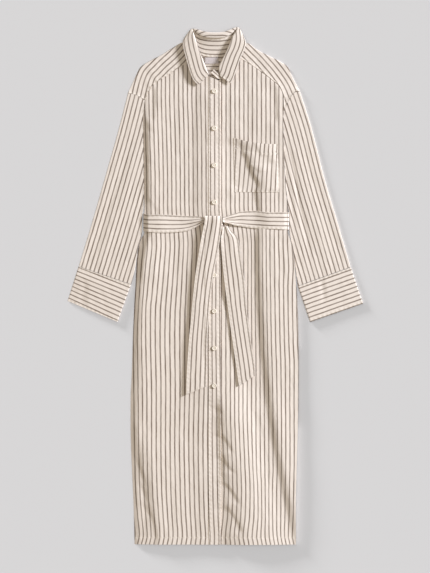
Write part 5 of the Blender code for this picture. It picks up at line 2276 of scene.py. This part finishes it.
@dataclass(frozen=True)
class Lamp:
    """A soft lamp that looks at the middle of the dress.

    `size` is the length of a panel's side in metres, or a far lamp's width in degrees. `power` is
    in watts, or watts a square metre of a far lamp. `lights` is the collection that it lights.
    """

    name: str
    kind: LampKind
    place: Vector
    size: float
    power: float
    colour: str
    lights: str

    def build(self) -> None:
        """Hangs the lamp."""
        data = bpy.data.lights.new(self.name, self.kind.value)
        if self.kind is LampKind.PANEL:
            data.shape, data.size = "SQUARE", self.size
        else:
            data.angle = math.radians(self.size)
        data.energy, data.color = self.power, linear(self.colour)[:3]
        made = bpy.data.objects.new(self.name, data)
        made.location = self.place
        made.rotation_euler = (-self.place).to_track_quat("-Z", "Y").to_euler()
        made.light_linking.receiver_collection = bpy.data.collections[self.lights]
        bpy.data.collections["studio"].objects.link(made)


@dataclass(frozen=True)
class Studio:
    """A paper floor, soft light from the wearer's left and a camera straight above."""

    frame_height: float = 1.4039
    distance: float = 3.5
    sensor: float = 36.0
    aside: Spot = Spot(-0.0005, 0.0001)   # where the camera hangs, in metres
    floor_size: float = 6.0
    floor_drop: float = 0.0006
    sky: str = "#F8F6EF"
    sky_strength: float = 0.36
    lamps: tuple[Lamp, ...] = (
        Lamp("key", LampKind.PANEL, Vector((8.6, 3.8, 3.3)), 1.8, 1950.0, "#F1F5FF", "dress"),
        Lamp("bounce", LampKind.PANEL, Vector((-1.0, -0.6, 2.6)), 2.6, 15.6, "#FFE2BA", "dress"),
        Lamp("floor top light", LampKind.FAR, Vector((0.2, 0.0, 3.0)), 60.0, 1.9, "#FFFFFF",
             "backdrop"),
        Lamp("floor side light", LampKind.FAR, Vector((-2.0, 2.0, 0.45)), 10.0, 4.2, "#FFFFFF",
             "backdrop"),
    )

    def floor(self) -> None:
        """Rolls out the paper that the dress lies on."""
        bm = bmesh.new()
        grid = bmesh.ops.create_grid(bm, x_segments=1, y_segments=1, size=self.floor_size / 2.0)
        bmesh.ops.translate(bm, vec=(0.0, 0.0, -self.floor_drop), verts=grid["verts"])
        mesh = bpy.data.meshes.new("floor")
        bm.to_mesh(mesh)
        bm.free()
        mesh.materials.append(PaperSweep().build())
        made = bpy.data.objects.new("floor", mesh)
        bpy.data.collections["backdrop"].objects.link(made)

    def camera(self) -> None:
        """Hangs the camera straight above the dress."""
        data = bpy.data.cameras.new("camera")
        data.sensor_width = self.sensor
        data.lens = self.sensor * self.distance / self.frame_height
        data.clip_start, data.clip_end = 0.1, 100.0
        made = bpy.data.objects.new("camera", data)
        made.location = (*self.aside, self.distance)
        bpy.data.collections["studio"].objects.link(made)
        bpy.context.scene.camera = made

    def build(self) -> None:
        """Sets the stage."""
        self.floor()
        for lamp in self.lamps:
            lamp.build()
        world = bpy.data.worlds.new("studio")
        world.use_nodes = True
        feed(world.node_tree.nodes["Background"],
             {"Color": linear(self.sky), "Strength": self.sky_strength})
        bpy.context.scene.world = world
        bpy.context.scene.view_settings.view_transform = "Standard"
        self.camera()


# ---------------------------------------------------------------- the dress

RIGHT_SLEEVE_INNER = table(
    Spot,
    (-175.6, 824.0), (-178.6, 806.0), (-179.2, 786.0), (-179.6, 766.0), (-182.4, 748.0),
    (-189.8, 722.0), (-194.4, 686.0), (-199.4, 660.0), (-206.3, 636.0),
)
RIGHT_SLEEVE_OUTER = table(
    Spot,
    (-213.5, 1104.3), (-235.9, 1016.5), (-265.6, 911.2), (-299.4, 793.6), (-333.7, 680.4),
)
LEFT_SLEEVE_INNER = table(
    Spot,
    (172.9, 876.0), (175.0, 857.0), (178.2, 824.0), (181.2, 812.0), (181.8, 770.0), (184.8, 748.0),
    (191.0, 720.0), (195.4, 686.0), (198.9, 658.0), (202.4, 632.0),
)
LEFT_SLEEVE_OUTER = table(
    Spot,
    (207.3, 1108.1), (232.8, 1029.5), (266.6, 898.9), (300.4, 784.7), (331.4, 678.6),
)
RIGHT_SLEEVE_CREASES = table(
    TubeCrease,
    (0.30, 0.36, 0.15, 0.75, 0.06, -0.6), (0.62, 0.66, 0.05, 0.9, 0.09, 0.5),
    (0.84, 0.84, 0.25, 1.0, 0.06, -0.5), (0.12, 0.2, 0.05, 0.4, 0.08, -0.7),
)
LEFT_SLEEVE_CREASES = table(
    TubeCrease,
    (0.52, 0.34, 0.1, 0.8, 0.06, -0.9), (0.7, 0.62, 0.1, 0.95, 0.1, 0.4),
    (0.16, 0.2, 0.0, 0.5, 0.08, -0.7), (0.86, 0.86, 0.3, 1.0, 0.06, -0.4),
)
BUTTON_HEIGHTS = (1108.0, 1017.5, 927.0, 836.5, 747.0, 658.0, 570.5, 480.0, 388.0)


def dress_up(lay: Lay, wardrobe: Wardrobe) -> None:
    """Builds the dress's pieces in order.

    Args:
        lay: How the body lies.
        wardrobe: The finishes.
    """
    right_guide = StripeGuide(RIGHT_STRIPES, RIGHT_NUMBERS)
    left_guide = StripeGuide(LEFT_STRIPES, LEFT_NUMBERS)
    BackPanel(lay, wardrobe).build()
    Front(lay, wardrobe, Hand.RIGHT, lay.placket_edge, RIGHT_YOKE_SEAM, RIGHT_NECK_EDGE,
          right_guide).build()
    Front(lay, wardrobe, Hand.LEFT, lay.underlap_edge, LEFT_YOKE_SEAM, LEFT_NECK_EDGE,
          left_guide).build()
    Placket(lay, wardrobe, right_guide).build()
    ChestPocket(lay, wardrobe).build()
    Yoke(lay, wardrobe).build()
    Sleeve(lay, wardrobe, Hand.RIGHT, Line(RIGHT_SLEEVE_INNER), Line(RIGHT_SLEEVE_OUTER),
           (876.0, 946.0, 1016.0, 1040.0, 1056.0, 1071.5), RIGHT_YOKE_END, 7.1,
           RIGHT_SLEEVE_CREASES).build()
    Sleeve(lay, wardrobe, Hand.LEFT, Line(LEFT_SLEEVE_INNER), Line(LEFT_SLEEVE_OUTER),
           (946.0, 1016.0, 1040.0), LEFT_YOKE_END, 6.6, LEFT_SLEEVE_CREASES).build()
    Cuff(lay, wardrobe, Hand.RIGHT, Spot(-206.2, 635.4), Spot(-334.1, 680.2),
         Spot(-361.4, 595.4), Spot(-238.9, 544.1), 8.0, 3.0,
         TubeCrease(0.80, 0.72, 0.3, 1.0, 0.08, -1.2), 2.2).build()
    Cuff(lay, wardrobe, Hand.LEFT, Spot(202.5, 631.4), Spot(332.0, 678.0), Spot(362.1, 589.0),
         Spot(232.3, 543.7), 6.0, 6.0, TubeCrease(0.44, 0.36, 0.0, 0.6, 0.05, -1.1), 0.0).build()
    collar = Collar(lay, wardrobe)
    collar.stand()
    collar.leaf()
    NeckLabel(lay, wardrobe).build()
    belt = Belt(lay, wardrobe)
    belt.waist()
    belt.tied()
    belt.tail("belt_tail_over", TAIL_OVER, 8.5)
    belt.tail("belt_tail_under", TAIL_UNDER, 9.0)
    for number, up in enumerate(BUTTON_HEIGHTS, 1):
        button = Button(lay, wardrobe, number, up)
        button.turned()
        button.sewn()


def main() -> None:
    """Builds the dress and its stage."""
    logging.basicConfig(level=logging.INFO, format="%(name)s: %(message)s")
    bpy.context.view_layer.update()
    for name in ("dress", "studio", "backdrop"):
        bpy.context.scene.collection.children.link(bpy.data.collections.new(name))
    dress_up(Lay(), Wardrobe())
    Studio().build()


if __name__ == "__main__":
    main()
